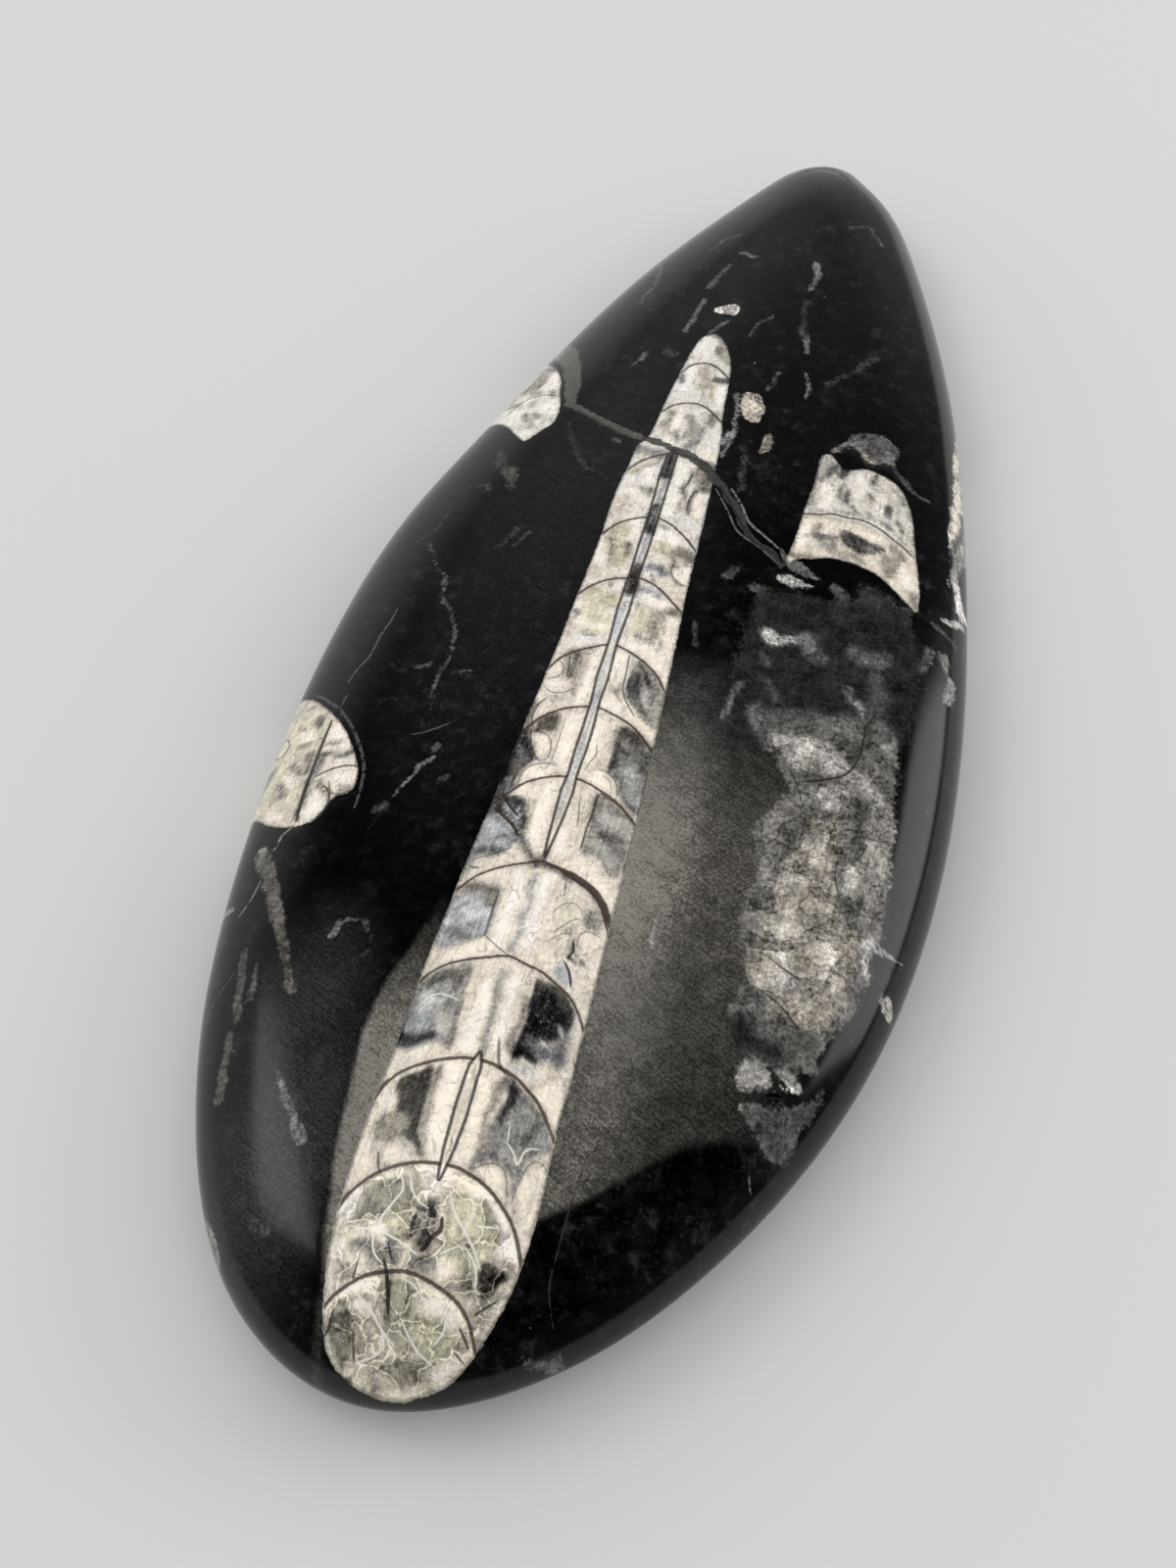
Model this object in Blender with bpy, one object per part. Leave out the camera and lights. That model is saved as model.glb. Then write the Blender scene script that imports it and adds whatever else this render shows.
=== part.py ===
"""Polished orthoceras fossil: one leaf-shaped slab of black limestone with its fossils in it.

The slab lies on its sawn underside, the pointed end towards +Y, its middle over the origin.
Lengths are in millimetres and become metres when the mesh is made.
"""
import math

import bmesh
import bpy
from mathutils import Vector
from mathutils.geometry import interpolate_bezier

MM = 0.001

# Outline of the widest section, counter-clockwise from the pointed end.
OUTLINE = [
    (10.2, 97.2), (4.9, 99.9), (-0.8, 98.2), (-6.6, 90.8), (-20, 64), (-31, 30.5), (-38, 1.5), (-38.5, -35),
    (-33, -68.5), (-21, -92), (-3.5, -100), (15.5, -90), (31, -67), (38.5, -39), (38.5, -2.5), (31, 45),
    (19, 83.5),
]
OUTLINE_STEPS = 18

# Section through the rim. Below the widest line the side leans in to the foot: distance in, and height.
UNDER_SECTION = ((5.2, 0.0), (4.3, 0.5), (2.9, 1.6), (1.5, 3.0), (0.5, 4.3))
SIDE_HEIGHT = 5.5
RIM_WIDTH = 12.0
RIM_RISE = 7.6
DOME_RISE = 2.0
DOME_REACH = 34.0
RIM_INSETS = (0.35, 1.3, 2.8, 4.9, 7.6, 11.0)

# The large fossil: its axis, and its half width at each position along the slab.
AXIS_X = -2.3
AXIS_LEAN = -0.011
HALF_WIDTHS = [(48, 0.6), (40, 3.2), (20, 5.3), (-16, 6.7), (-61, 8.6), (-88, 8.8), (-102, 7.0)]

# The wide half of the large fossil stands up between two ground hollows.
RELIEF_START = -18.0
RELIEF_FULL = -62.0
RIDGE_RISE = 1.0
HOLLOW_DEPTH = 1.3
LEFT_HOLLOW = 5.0
RIGHT_HOLLOW = 27.0

# Middle line that the rows of faces run towards.
SPINE_REACH = 0.86
SPINE_X = [(-86, -1.2), (0, -2.2), (50, 1.5), (86, 4.3)]

STATIONS = 64
INNER_ROWS = 17


def along(table, position):
    """Straight-line reading of a short table of (position, value) pairs."""
    rows = sorted(table)
    if position <= rows[0][0]:
        return rows[0][1]
    for (low, first), (high, second) in zip(rows, rows[1:]):
        if position <= high:
            return first + (second - first) * (position - low) / (high - low)
    return rows[-1][1]


def ease(value):
    """Smooth step from 0 to 1."""
    value = min(max(value, 0.0), 1.0)
    return value * value * (3.0 - 2.0 * value)


def outline_points():
    """Smooth closed curve through the outline."""
    knots = [Vector(point) for point in OUTLINE]
    count = len(knots)
    points = []
    for i in range(count):
        before, start, end, after = (knots[(i + step) % count] for step in (-1, 0, 1, 2))
        first_handle = start + (end - before) / 6.0
        second_handle = end - (after - start) / 6.0
        segment = interpolate_bezier(start, first_handle, second_handle, end, OUTLINE_STEPS + 1)
        points.extend(segment[:-1])
    return points


def crossing(points, y, side):
    """Point of the outline at this y, on the left (-1) or right (+1)."""
    found = []
    for start, end in zip(points, points[1:] + points[:1]):
        if (start.y - y) * (end.y - y) <= 0.0 and start.y != end.y:
            share = (y - start.y) / (end.y - start.y)
            found.append(start.x + (end.x - start.x) * share)
    return Vector((max(found) if side > 0 else min(found), y))


def inset(points, x, y):
    """Distance from the outline."""
    best = 1e9
    here = Vector((x, y))
    for start, end in zip(points, points[1:] + points[:1]):
        edge = end - start
        share = min(max((here - start).dot(edge) / edge.length_squared, 0.0), 1.0)
        best = min(best, (here - start - edge * share).length)
    return best


def relief(x, y):
    """Raised fossil with a narrow hollow on its left and a broad one on its right."""
    strength = ease((RELIEF_START - y) / (RELIEF_START - RELIEF_FULL))
    offset = x - AXIS_X - AXIS_LEAN * y
    half = along(HALF_WIDTHS, y)
    outside = abs(offset) - half
    if outside <= 0.0:
        crown = 1.0 - abs(offset / half) ** 2.4
        return strength * ((RIDGE_RISE + HOLLOW_DEPTH) * crown - HOLLOW_DEPTH)
    if offset < 0.0:
        return -strength * HOLLOW_DEPTH * max(0.0, 1.0 - outside / LEFT_HOLLOW)
    return -strength * HOLLOW_DEPTH * (1.0 - ease(outside / RIGHT_HOLLOW))


def top_height(points, x, y):
    """Height of the polished face."""
    depth = inset(points, x, y)
    turn = 1.0 - min(depth / RIM_WIDTH, 1.0)
    height = SIDE_HEIGHT + RIM_RISE * math.sqrt(1.0 - turn * turn)
    height += DOME_RISE * ease(depth / DOME_REACH)
    return height + relief(x, y) * ease(depth / RIM_WIDTH)


def section(points, y, side):
    """Points from the foot up round the rim and in over the top to the spine."""
    edge = crossing(points, y, side)
    middle_y = y * SPINE_REACH
    middle = Vector((along(SPINE_X, middle_y), middle_y))
    reach = (middle - edge).length
    rows = [(*edge.lerp(middle, gap / reach), height) for gap, height in UNDER_SECTION]
    shares = [0.0] + [gap / reach for gap in RIM_INSETS]
    left_over = 1.0 - shares[-1]
    shares += [shares[-1] + left_over * (row + 1) / INNER_ROWS for row in range(INNER_ROWS)]
    for share in shares:
        place = edge.lerp(middle, share)
        rows.append((*place, top_height(points, place.x, place.y)))
    return rows


def slab_mesh():
    points = outline_points()
    low = min(point.y for point in points)
    high = max(point.y for point in points)
    bm = bmesh.new()
    made = {}

    def vertex(x, y, z):
        key = (round(x, 4), round(y, 4), round(z, 4))
        if key not in made:
            made[key] = bm.verts.new((x * MM, y * MM, z * MM))
        return made[key]

    def face(corners):
        kept = list(dict.fromkeys(corners))
        if len(kept) > 2:
            bm.faces.new(kept)

    rim = {}
    for side in (-1, 1):
        previous = None
        for station in range(STATIONS + 1):
            turn = math.pi * station / STATIONS
            y = 0.5 * (low + high) - 0.5 * (high - low) * math.cos(turn)
            y = min(max(y, low + 0.002), high - 0.002)
            rows = [vertex(*place) for place in section(points, y, 1 if station in (0, STATIONS) else side)]
            rim.setdefault(side, []).append(rows[0])
            if previous:
                for (a, b), (c, d) in zip(zip(previous, previous[1:]), zip(rows, rows[1:])):
                    face([a, c, d, b] if side > 0 else [a, b, d, c])
            previous = rows
    bm.faces.new(rim[-1] + rim[1][-2:0:-1])
    bmesh.ops.recalc_face_normals(bm, faces=bm.faces)
    for item in bm.faces:
        item.smooth = True
    mesh = bpy.data.meshes.new("fossil_slab")
    bm.to_mesh(mesh)
    bm.free()
    return mesh


def stone_material():
    material = bpy.data.materials.new("polished_black_limestone")
    material.use_nodes = True
    shader = material.node_tree.nodes["Principled BSDF"]
    shader.inputs["Base Color"].default_value = (0.012, 0.012, 0.013, 1.0)
    shader.inputs["Roughness"].default_value = 0.18
    shader.inputs["Metallic"].default_value = 0.0
    return material


def build():
    for item in list(bpy.data.objects):
        bpy.data.objects.remove(item, do_unlink=True)
    collection = bpy.data.collections.new("orthoceras_fossil")
    bpy.context.scene.collection.children.link(collection)
    slab = bpy.data.objects.new("fossil_slab", slab_mesh())
    slab.data.materials.append(stone_material())
    collection.objects.link(slab)


build()
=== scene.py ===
"""Looks of the polished orthoceras fossil: black limestone with pale calcite shells cut open in it.

Plan positions and sizes are in millimetres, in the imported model's frame, with the pointed end towards +Y.
The stone is one mesh. The fossils are drawn on it as fields that its material reads and breaks up with noise.
"""
import math
from functools import reduce

import bpy
import numpy as np
from mathutils import Matrix, Vector


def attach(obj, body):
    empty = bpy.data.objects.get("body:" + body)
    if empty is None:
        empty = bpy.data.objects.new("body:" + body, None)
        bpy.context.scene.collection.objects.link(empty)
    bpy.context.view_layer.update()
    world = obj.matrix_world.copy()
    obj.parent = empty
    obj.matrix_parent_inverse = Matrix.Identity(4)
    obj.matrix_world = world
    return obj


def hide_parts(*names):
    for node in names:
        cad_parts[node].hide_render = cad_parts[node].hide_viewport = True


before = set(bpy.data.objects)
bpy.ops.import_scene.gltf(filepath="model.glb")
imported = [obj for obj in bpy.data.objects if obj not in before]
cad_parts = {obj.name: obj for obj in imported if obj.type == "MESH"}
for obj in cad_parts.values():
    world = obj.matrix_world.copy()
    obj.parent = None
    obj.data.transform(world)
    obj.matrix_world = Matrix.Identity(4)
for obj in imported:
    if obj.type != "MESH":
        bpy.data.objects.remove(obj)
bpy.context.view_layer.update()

MM = 0.001
PER_METRE = 1000.0
FAR = 1e9

# ---------------------------------------------------------------- the slab's form, as the solid has it
OUTLINE = [
    (10.2, 97.2), (4.9, 99.9), (-0.8, 98.2), (-6.6, 90.8), (-20, 64), (-31, 30.5), (-38, 1.5), (-38.5, -35),
    (-33, -68.5), (-21, -92), (-3.5, -100), (15.5, -90), (31, -67), (38.5, -39), (38.5, -2.5), (31, 45),
    (19, 83.5),
]
OUTLINE_STEPS = 18
SKIN = 0.03            # the stone's visible face lies this far inside the solid

# Section through the rim. Below the widest line the side leans in to the foot: distance in, and height.
UNDER_SECTION = [(5.2, 0.0), (4.3, 0.5), (2.9, 1.6), (1.5, 3.0), (0.5, 4.3)]
SIDE_HEIGHT = 5.5
RIM_WIDTH = 12.0
RIM_RISE = 7.6
DOME_RISE = 2.0
DOME_REACH = 34.0

# The large fossil: its axis, and its half width at each position along the slab.
AXIS_X = -2.3
AXIS_LEAN = -0.011
HALF_WIDTHS = [(48, 0.6), (40, 3.2), (20, 5.3), (-16, 6.7), (-61, 8.6), (-88, 8.8), (-102, 7.0)]

# Its wide half stands up between a narrow hollow on the left and a broad one on the right.
RELIEF_START = -18.0
RELIEF_FULL = -62.0
RIDGE_RISE = 1.0
RIDGE_BLUNTNESS = 2.4
HOLLOW_DEPTH = 1.3
LEFT_DEPTH = 0.9
LEFT_CREASE = [(-40, 1.2), (-48, 1.6), (-56, 2.6), (-61, 3.9), (-67, 4.4), (-74, 3.5), (-80, 2.8), (-85, 1.6),
               (-91, 0.7)]
RIGHT_HOLLOW = 27.0

# Middle line that the rows of faces run towards, and how the ridge along it is rounded off.
SPINE_REACH = 0.86
SPINE_X = [(-86, -1.2), (0, -2.2), (50, 1.5), (86, 4.3)]
SPINE_ROUND = 4.5
SPINE_SHARE = 0.8      # of the distance to the rim, where that is less
SPINE_SAMPLES = 9

# Mesh density.
STATIONS = 440
UNDER_ROWS = 6
SIDE_STEPS = 2
RIM_ROWS = (0.04, 0.15, 0.35, 0.65, 1.0, 1.45, 1.95, 2.5)
TOP_ROWS = 74
ROW_CROWDING = 0.2     # the top's rows lie this much closer together at the spine than at the rim
WALK_STEPS = 6001

# ---------------------------------------------------------------- the fossils' drawing, in plan millimetres
MAIN_SHELL = [
    (-3.4, 47.9), (-4.8, 47), (-5.6, 44.1), (-6.1, 39.5), (-6.6, 34), (-6.9, 28.5), (-7.3, 24.8),
    (-8.3, 22.8), (-8.4, 19.1), (-8.8, 13.5), (-8.6, 5), (-8.8, -4), (-9, -14), (-9.3, -22.5), (-9.7, -33),
    (-10.1, -41), (-10.5, -51), (-10.8, -60.5), (-10.7, -68), (-11, -75), (-10.8, -83), (-10.3, -88.5),
    (-9.3, -93.6), (-7.8, -97.4), (-4.9, -99.2), (-1.5, -99.4), (1.1, -98.6), (4.1, -96.6), (6.1, -92.7),
    (7.4, -87.3), (7.6, -80), (7.2, -72.4), (7, -61.6), (6.7, -54.6), (6.4, -46), (6.2, -38), (5.8, -30),
    (5.4, -24), (4.8, -15), (4.3, -7.5), (3.9, -3), (3.5, 5), (3.1, 12.8), (2.6, 20), (2.1, 26.3), (1.3, 31),
    (0.7, 38), (0, 42), (-1.2, 45.3), (-2.4, 47.2),
]
# Chamber walls from the narrow end to the wide end, each from left to right.
SEPTA = [
    [(-5.8, 39.2), (-5.1, 40.4), (-4, 41.1), (-2.8, 41.2), (-1.6, 40.6), (-0.5, 39.6), (0.6, 38.4)],
    [(-6.6, 30.4), (-5.8, 31.5), (-4.6, 32.3), (-3.3, 32.6), (-1.9, 32.4), (-0.5, 31.5), (1.5, 29.5)],
    [(-8.3, 18.3), (-7.2, 19.9), (-6, 21), (-4.9, 21.7), (-3.2, 22.3), (-1.4, 22.1), (0.8, 21.3), (2.4, 20)],
    [(-8.4, 6.1), (-7.5, 7.7), (-6.5, 8.7), (-5.1, 9.5), (-3.8, 10), (-2.4, 10.1), (-0.9, 9.5), (0.5, 8.5),
     (2, 7.1), (3.1, 5.8)],
    [(-8.7, -4.6), (-7.8, -3.3), (-6.6, -2.1), (-5.2, -1.3), (-3.6, -0.8), (-2.2, -0.5), (-0.6, -1),
     (0.8, -1.9), (2.1, -3.1), (3.9, -4.8)],
    [(-9, -17), (-8.1, -15.1), (-6.6, -13.7), (-4.6, -12.5), (-3.3, -11.9), (-2.1, -11.8), (-0.1, -12.6),
     (1.8, -13.8), (3.5, -15.3), (4.7, -17.2)],
    [(-9.1, -26.3), (-8.1, -24.6), (-7.2, -23.7), (-5.8, -22.6), (-4.4, -22), (-3.1, -21.6), (-1.8, -21.5),
     (-0.2, -22), (1.7, -22.8), (3.2, -23.8), (5, -25.7)],
    [(-9, -36.2), (-8.2, -35.2), (-7.3, -34.1), (-6, -33.2), (-4.5, -32.5), (-3, -32.1), (-1.5, -32.1),
     (0.5, -32.7), (2.4, -33.6), (4.1, -34.6), (5.8, -36)],
    [(-10.3, -48.7), (-9.2, -47.2), (-7.7, -46.2), (-6, -45.4), (-4.2, -44.7), (-2.3, -44), (-1.4, -44.1),
     (0.3, -44.6), (2.4, -45.3), (4.1, -46.1), (5.3, -47.3), (6.3, -49)],
    [(-10.8, -60.5), (-10, -59), (-8.3, -58), (-6.3, -57.4), (-4.4, -56.9), (-2.2, -56.3), (-0.4, -56.8),
     (1.5, -57.2), (3.2, -58), (4.7, -58.7), (5.9, -59.9), (6.8, -61.3)],
    [(-11, -74.2), (-10.6, -72.3), (-9.7, -70.9), (-8.3, -70.1), (-6.9, -69.5), (-4.8, -68.8), (-3.1, -68.4),
     (-1.2, -68.3), (0.5, -68.6), (2.2, -69.1), (3.6, -69.9), (4.8, -70.7), (5.8, -71.8), (6.9, -73.2)],
    [(-10.8, -86.1), (-10.4, -84), (-9.6, -82.7), (-8.4, -81.6), (-7.3, -80.9), (-5.5, -80.1), (-3.4, -79.6),
     (-0.8, -79.4), (1.3, -79.9), (3.1, -80.7), (4.6, -81.8), (5.8, -83), (6.6, -84.3), (7.4, -86)],
    [(-9.4, -94.6), (-8.8, -93.5), (-8.2, -92.7), (-6.9, -91.6), (-5.6, -90.8), (-4.1, -90.3), (-2.3, -89.9),
     (-0.8, -90), (1, -90.4), (2.5, -90.9), (3.6, -91.6), (4.4, -92.5), (5.2, -94)],
]
LAST_CHAMBER = 7.0
# Middle and half width of the tube through the chambers, at positions along the slab.
TUBE_MIDDLE = [(22, -3.35), (18, -3.35), (10, -3.05), (-1, -2.95), (-12, -2.75), (-20, -2.5), (-25, -2.28),
               (-32, -2.2), (-38, -2.1), (-44, -2.12), (-66, -1.8), (-70, -1.95), (-75, -1.85), (-82, -1.9)]
TUBE_HALF = [(23.2, -0.8), (22.4, 0.6), (18, 0.72), (11, 0.62), (8.5, 0.62), (5, 0.66), (0, 0.56),
             (-2, 0.64), (-6, 0.72), (-11, 0.5), (-13, 0.52), (-17, 0.68), (-20.5, 0.48), (-23, 0.55),
             (-28, 0.62), (-31.6, 0.5), (-34, 0.68), (-38, 0.5), (-41, 0.3), (-43.4, 0.06), (-43.8, -0.6),
             (-66.8, -0.6), (-67.4, 0.08), (-69, 0.6), (-74, 0.68), (-78, 0.5), (-81, 0.12), (-81.6, -0.6)]
# Dark hair lines: full width in millimetres, strength, then the points.
DARK_LINES = [
    (0.2, 0.6, [(-2.4, -56.2), (-3.8, -55.4), (-5.4, -54.3)]),
    (0.3, 0.6, [(-5.4, -54.3), (-5.5, -51.6), (-5.6, -48.6)]),
    (0.3, 0.9, [(3.4, -52.5), (3.8, -53.5), (3.5, -54.6)]),
    (0.3, 0.9, [(3.2, -55.1), (4, -56.1), (4.6, -57.6)]),
    (0.35, 0.7, [(-0.5, -65.6), (0.3, -68.3), (1.6, -69.2)]),
    (0.25, 0.7, [(-8.6, -79.2), (-8.1, -80.6), (-7.6, -81.3)]),
    (0.45, 0.9, [(-0.5, -84.3), (-0.3, -85.5), (-0.9, -86.4), (-1.2, -87.4), (-1.5, -87.8)]),
    (0.4, 0.7, [(-2.9, -84.6), (-3, -86)]),
    (0.4, 0.9, [(-4.6, -89.2), (-4, -90.3), (-3.4, -91.8), (-2.9, -93.5)]),
    (0.25, 0.8, [(-4.6, -87.8), (-3.8, -89.2)]),
    (0.25, 0.7, [(-5.8, -95.2), (-5.4, -96.5), (-5.1, -97.6)]),
    (0.25, 0.8, [(4.5, -91.6), (5.1, -90.9), (6.2, -89.7)]),
    (0.25, 0.8, [(-7, -89.8), (-7, -91.4)]),
    (0.3, 0.8, [(-8.5, -96.4), (-8.1, -95.6), (-8.1, -94)]),
    (0.3, 0.8, [(3.6, -92.9), (4.7, -94.1)]),
    (0.2, 0.8, [(3.6, -94.8), (4.6, -95.3)]),
    (0.2, 0.6, [(-2, -83.6), (-0.9, -84.8)]),
    (0.25, 0.7, [(-0.4, -12.8), (-0.1, -15.7), (0.1, -18.1), (0.9, -19.8), (2.3, -21.7)]),
    (0.25, 0.7, [(-7.9, -21.2), (-8.7, -22.6), (-8.9, -24.2), (-8.5, -25.6)]),
    (0.25, 0.7, [(0, 18.9), (-0.3, 16.9), (-0.6, 15.4)]),
    (0.25, 0.6, [(1.1, 16), (0.6, 14.5), (0.6, 12.6)]),
    (0.25, 0.7, [(-7.1, -14.5), (-6.8, -15.9), (-6.6, -17.7)]),
    (0.2, 0.6, [(-8.1, -15.5), (-7.4, -16.3), (-7.3, -17.5), (-8, -18.2), (-8.9, -18.6)]),
    (0.2, 0.6, [(-8.7, -19.7), (-7.8, -20.4), (-6.4, -20.2), (-5.4, -19.4)]),
    (0.25, 0.7, [(-8.4, -26.5), (-7.9, -28.4), (-6.9, -30), (-6.2, -30.6)]),
    (0.2, 0.6, [(-8.1, -26.3), (-6.6, -26.6), (-5.7, -27.8), (-5.5, -29.6), (-5.9, -30.5)]),
    (0.2, 0.5, [(-5.1, -23.6), (-5, -27), (-5, -30.4)]),
    (0.2, 0.6, [(-7.8, -34.2), (-7.7, -32.4), (-6.8, -31.2), (-5.2, -30.7), (-4.2, -30.9)]),
    (0.2, 0.6, [(-0.7, -26.8), (-0.4, -28.4), (-0.8, -29.4), (-1, -30.6)]),
    (0.2, 0.6, [(0, -30.3), (1.2, -30.3), (2.3, -31), (2.9, -32), (3.2, -33.4)]),
    (0.2, 0.4, [(0.9, -30.9), (1.9, -31.4), (2.5, -32.8)]),
    (0.35, 0.9, [(-9, -35.7), (-7.6, -37.4), (-6.4, -38.5)]),
    (0.4, 0.9, [(-9.4, -37.6), (-7.6, -39), (-6.4, -40.1), (-5.7, -41.2)]),
    (0.25, 0.8, [(2.4, -34), (1.3, -33.6), (1.3, -36.6), (1.2, -38.4), (1.3, -41.4)]),
    (0.2, 0.6, [(-0.5, -34.2), (-0.4, -35.6), (-0.2, -36.4), (0.2, -38.6)]),
    (0.2, 0.6, [(-10, -44.6), (-8, -44), (-6, -42.9)]),
    (0.3, 0.7, [(-9.9, -45.5), (-8.8, -45.7)]),
    (0.25, 0.6, [(0.9, -45.8), (1.2, -47.4)]),
    (0.2, 0.5, [(0.6, -50.2), (1.4, -48.6), (2.8, -48.2), (3.6, -49.2)]),
    (0.2, 0.5, [(1.4, -52.2), (2.6, -50.4), (3.4, -49.8)]),
    (0.2, 0.5, [(1, -53.6), (2.2, -52.2), (3.2, -51.8)]),
    (0.2, 0.5, [(4, -53), (3.9, -51.6), (4.6, -50.8), (5.8, -50.8)]),
    (0.2, 0.5, [(1.1, -79), (2, -78.2), (3.2, -78), (4, -78.8), (4.6, -80.8)]),
    (0.2, 0.5, [(5.1, -80.8), (5.2, -78.9), (5.6, -76.9), (6.4, -76.1), (7.3, -76.6)]),
    (0.2, 0.5, [(-7.5, 5.6), (-6.9, 4.4), (-6.7, 2.2)]),
    (0.2, 0.6, [(1.2, 3.2), (1.2, 1.4), (2, 0.2), (3.4, -0.6)]),
    (0.45, 0.9, [(-31.7, -28.6), (-31.6, -32), (-31.4, -36), (-31.1, -40), (-30.6, -43.4)]),
    (0.3, 0.8, [(-30.9, -37.2), (-29.9, -36.3), (-28.4, -35.4), (-27.1, -35), (-26.2, -35)]),
    (0.25, 0.7, [(-30.4, -38.6), (-31, -41), (-30.2, -43.4)]),
    (0.3, 0.8, [(-29, -38.2), (-28, -39.4), (-27.8, -41.4), (-28.6, -43)]),
    (0.3, 0.6, [(-28.8, -37.4), (-28, -39), (-26.6, -39), (-25.8, -38)]),
    (0.25, 0.7, [(-37.6, -29.6), (-36.4, -31), (-36.4, -32.6), (-37.4, -32.8), (-38.2, -31.4),
        (-37.6, -29.6)]),
    (0.25, 0.6, [(-27.6, 29.3), (-26.2, 31.6), (-23.9, 32.4), (-21.1, 31.8)]),
    (0.35, 0.8, [(14, 15.3), (15.4, 15.9), (17, 16.3), (18.3, 16.9), (20.2, 16.8), (22.1, 16.9),
        (24.1, 16.2), (25.9, 15.1), (27.8, 13.9), (29.2, 12.9)]),
]
# Pale threads between the olive crystals of the two widest chambers.
WHITE_LINES = [
    (0.22, [(-5.6, -81), (-4.9, -82.6), (-5.5, -84.1), (-6.1, -85.8), (-5.4, -86.8), (-3.4, -87.5),
        (-1.8, -88.2)]),
    (0.2, [(-4.8, -80.8), (-3.6, -83), (-2.1, -83.8)]),
    (0.2, [(-8.8, -86.6), (-7.4, -86.8), (-6.5, -86.5)]),
    (0.22, [(-0.5, -81.7), (0.3, -83.4), (1.7, -84.9), (3, -86.2), (4, -87.6)]),
    (0.2, [(1.4, -81.3), (2.1, -83.2), (1.8, -85.3)]),
    (0.18, [(2.7, -84.2), (4.5, -83.7)]),
    (0.2, [(0.3, -87.6), (1.8, -86.4)]),
    (0.2, [(0.1, -88), (0.6, -89)]),
    (0.2, [(-6.4, -86.9), (-5.8, -88.7), (-4.7, -89.6)]),
    (0.22, [(-6.5, -92.4), (-5.2, -93.1), (-4.3, -93.8), (-3.6, -94.5), (-2.7, -95.2), (-1.8, -95.7)]),
    (0.2, [(-1.5, -93.8), (-0.7, -94.7), (0.5, -95.7), (1.8, -96.2)]),
    (0.2, [(-3.4, -94.5), (-2.7, -95.9), (-3.2, -96.8), (-4.7, -97.6)]),
    (0.2, [(2.2, -92.1), (2.3, -93.6), (1.7, -94.8)]),
    (0.2, [(-2.1, -90.6), (-1.2, -90.8), (0, -91.7), (1.3, -92)]),
    (0.2, [(2.4, -86.4), (3.6, -87.7), (4.1, -89.2)]),
    (0.2, [(3.3, -75.7), (4, -76.3), (4.6, -77.3), (5, -75.6), (6, -75)]),
    (0.15, [(2.9, -73.7), (3.2, -75.4)]),
    (0.15, [(-9.9, -63.1), (-8.4, -61.6), (-5.8, -62.2)]),
]
SECOND_SHELL = [
    (15.1, 26.8), (15.1, 22), (14.8, 17), (14.6, 11), (14.2, 6.7), (15.7, 7.8), (17.3, 8.3), (18.8, 9),
    (20.6, 9.2), (22.5, 9), (24.2, 8.5), (25.6, 7.9), (27, 6.8), (28.6, 5.5), (30, 4.4), (30.9, 4),
    (30.7, 7.4), (29.9, 11), (29, 15), (28.2, 18.8), (27.2, 21.9), (25.7, 24.4), (24.1, 25.5), (22.6, 26),
    (21.1, 26.3), (19.7, 25.8), (18.9, 25.4), (18.2, 25.3), (17.4, 26.2), (16.3, 27.6),
]
UPPER_SHELL = [
    (-40, 36), (-33, 30), (-27.6, 26.4), (-25, 23.6), (-23.2, 21.8), (-22.4, 22.8), (-21.4, 24.4),
    (-20.4, 25.8), (-20.2, 28), (-20.6, 30.5), (-21.4, 33), (-21.7, 35), (-22.8, 37.6), (-24.2, 40),
    (-26.2, 43), (-28, 48), (-36, 50),
]
HALF_SHELL = [
    (-44, -20), (-39, -23), (-36.6, -24.2), (-34, -25.9), (-31.6, -27.9), (-29.4, -30.1), (-27.4, -32.9),
    (-26.2, -35), (-25.6, -37.2), (-26, -38.8), (-27.4, -39.6), (-27.9, -41.4), (-28.6, -43), (-29.9, -43.8),
    (-31.6, -44), (-34, -43.5), (-36.6, -41.8), (-44, -37),
]
GREY_PATCH = [
    (14.5, -17.5), (17.5, -16.5), (21, -15.6), (25, -15), (28, -14.4), (31, -15.6), (32, -19), (32.8, -27),
    (33.4, -34), (33.9, -40), (33.4, -46), (32.6, -50.8), (31.7, -53.7), (30.2, -56.5), (28, -59.6),
    (24, -59), (22, -57.5), (20.6, -55), (21.6, -51.6), (20.2, -48), (19.2, -43), (19.8, -38), (18.4, -33.5),
    (20, -29.5), (20.8, -26.5), (18.8, -23.4), (16.4, -21),
]
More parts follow.
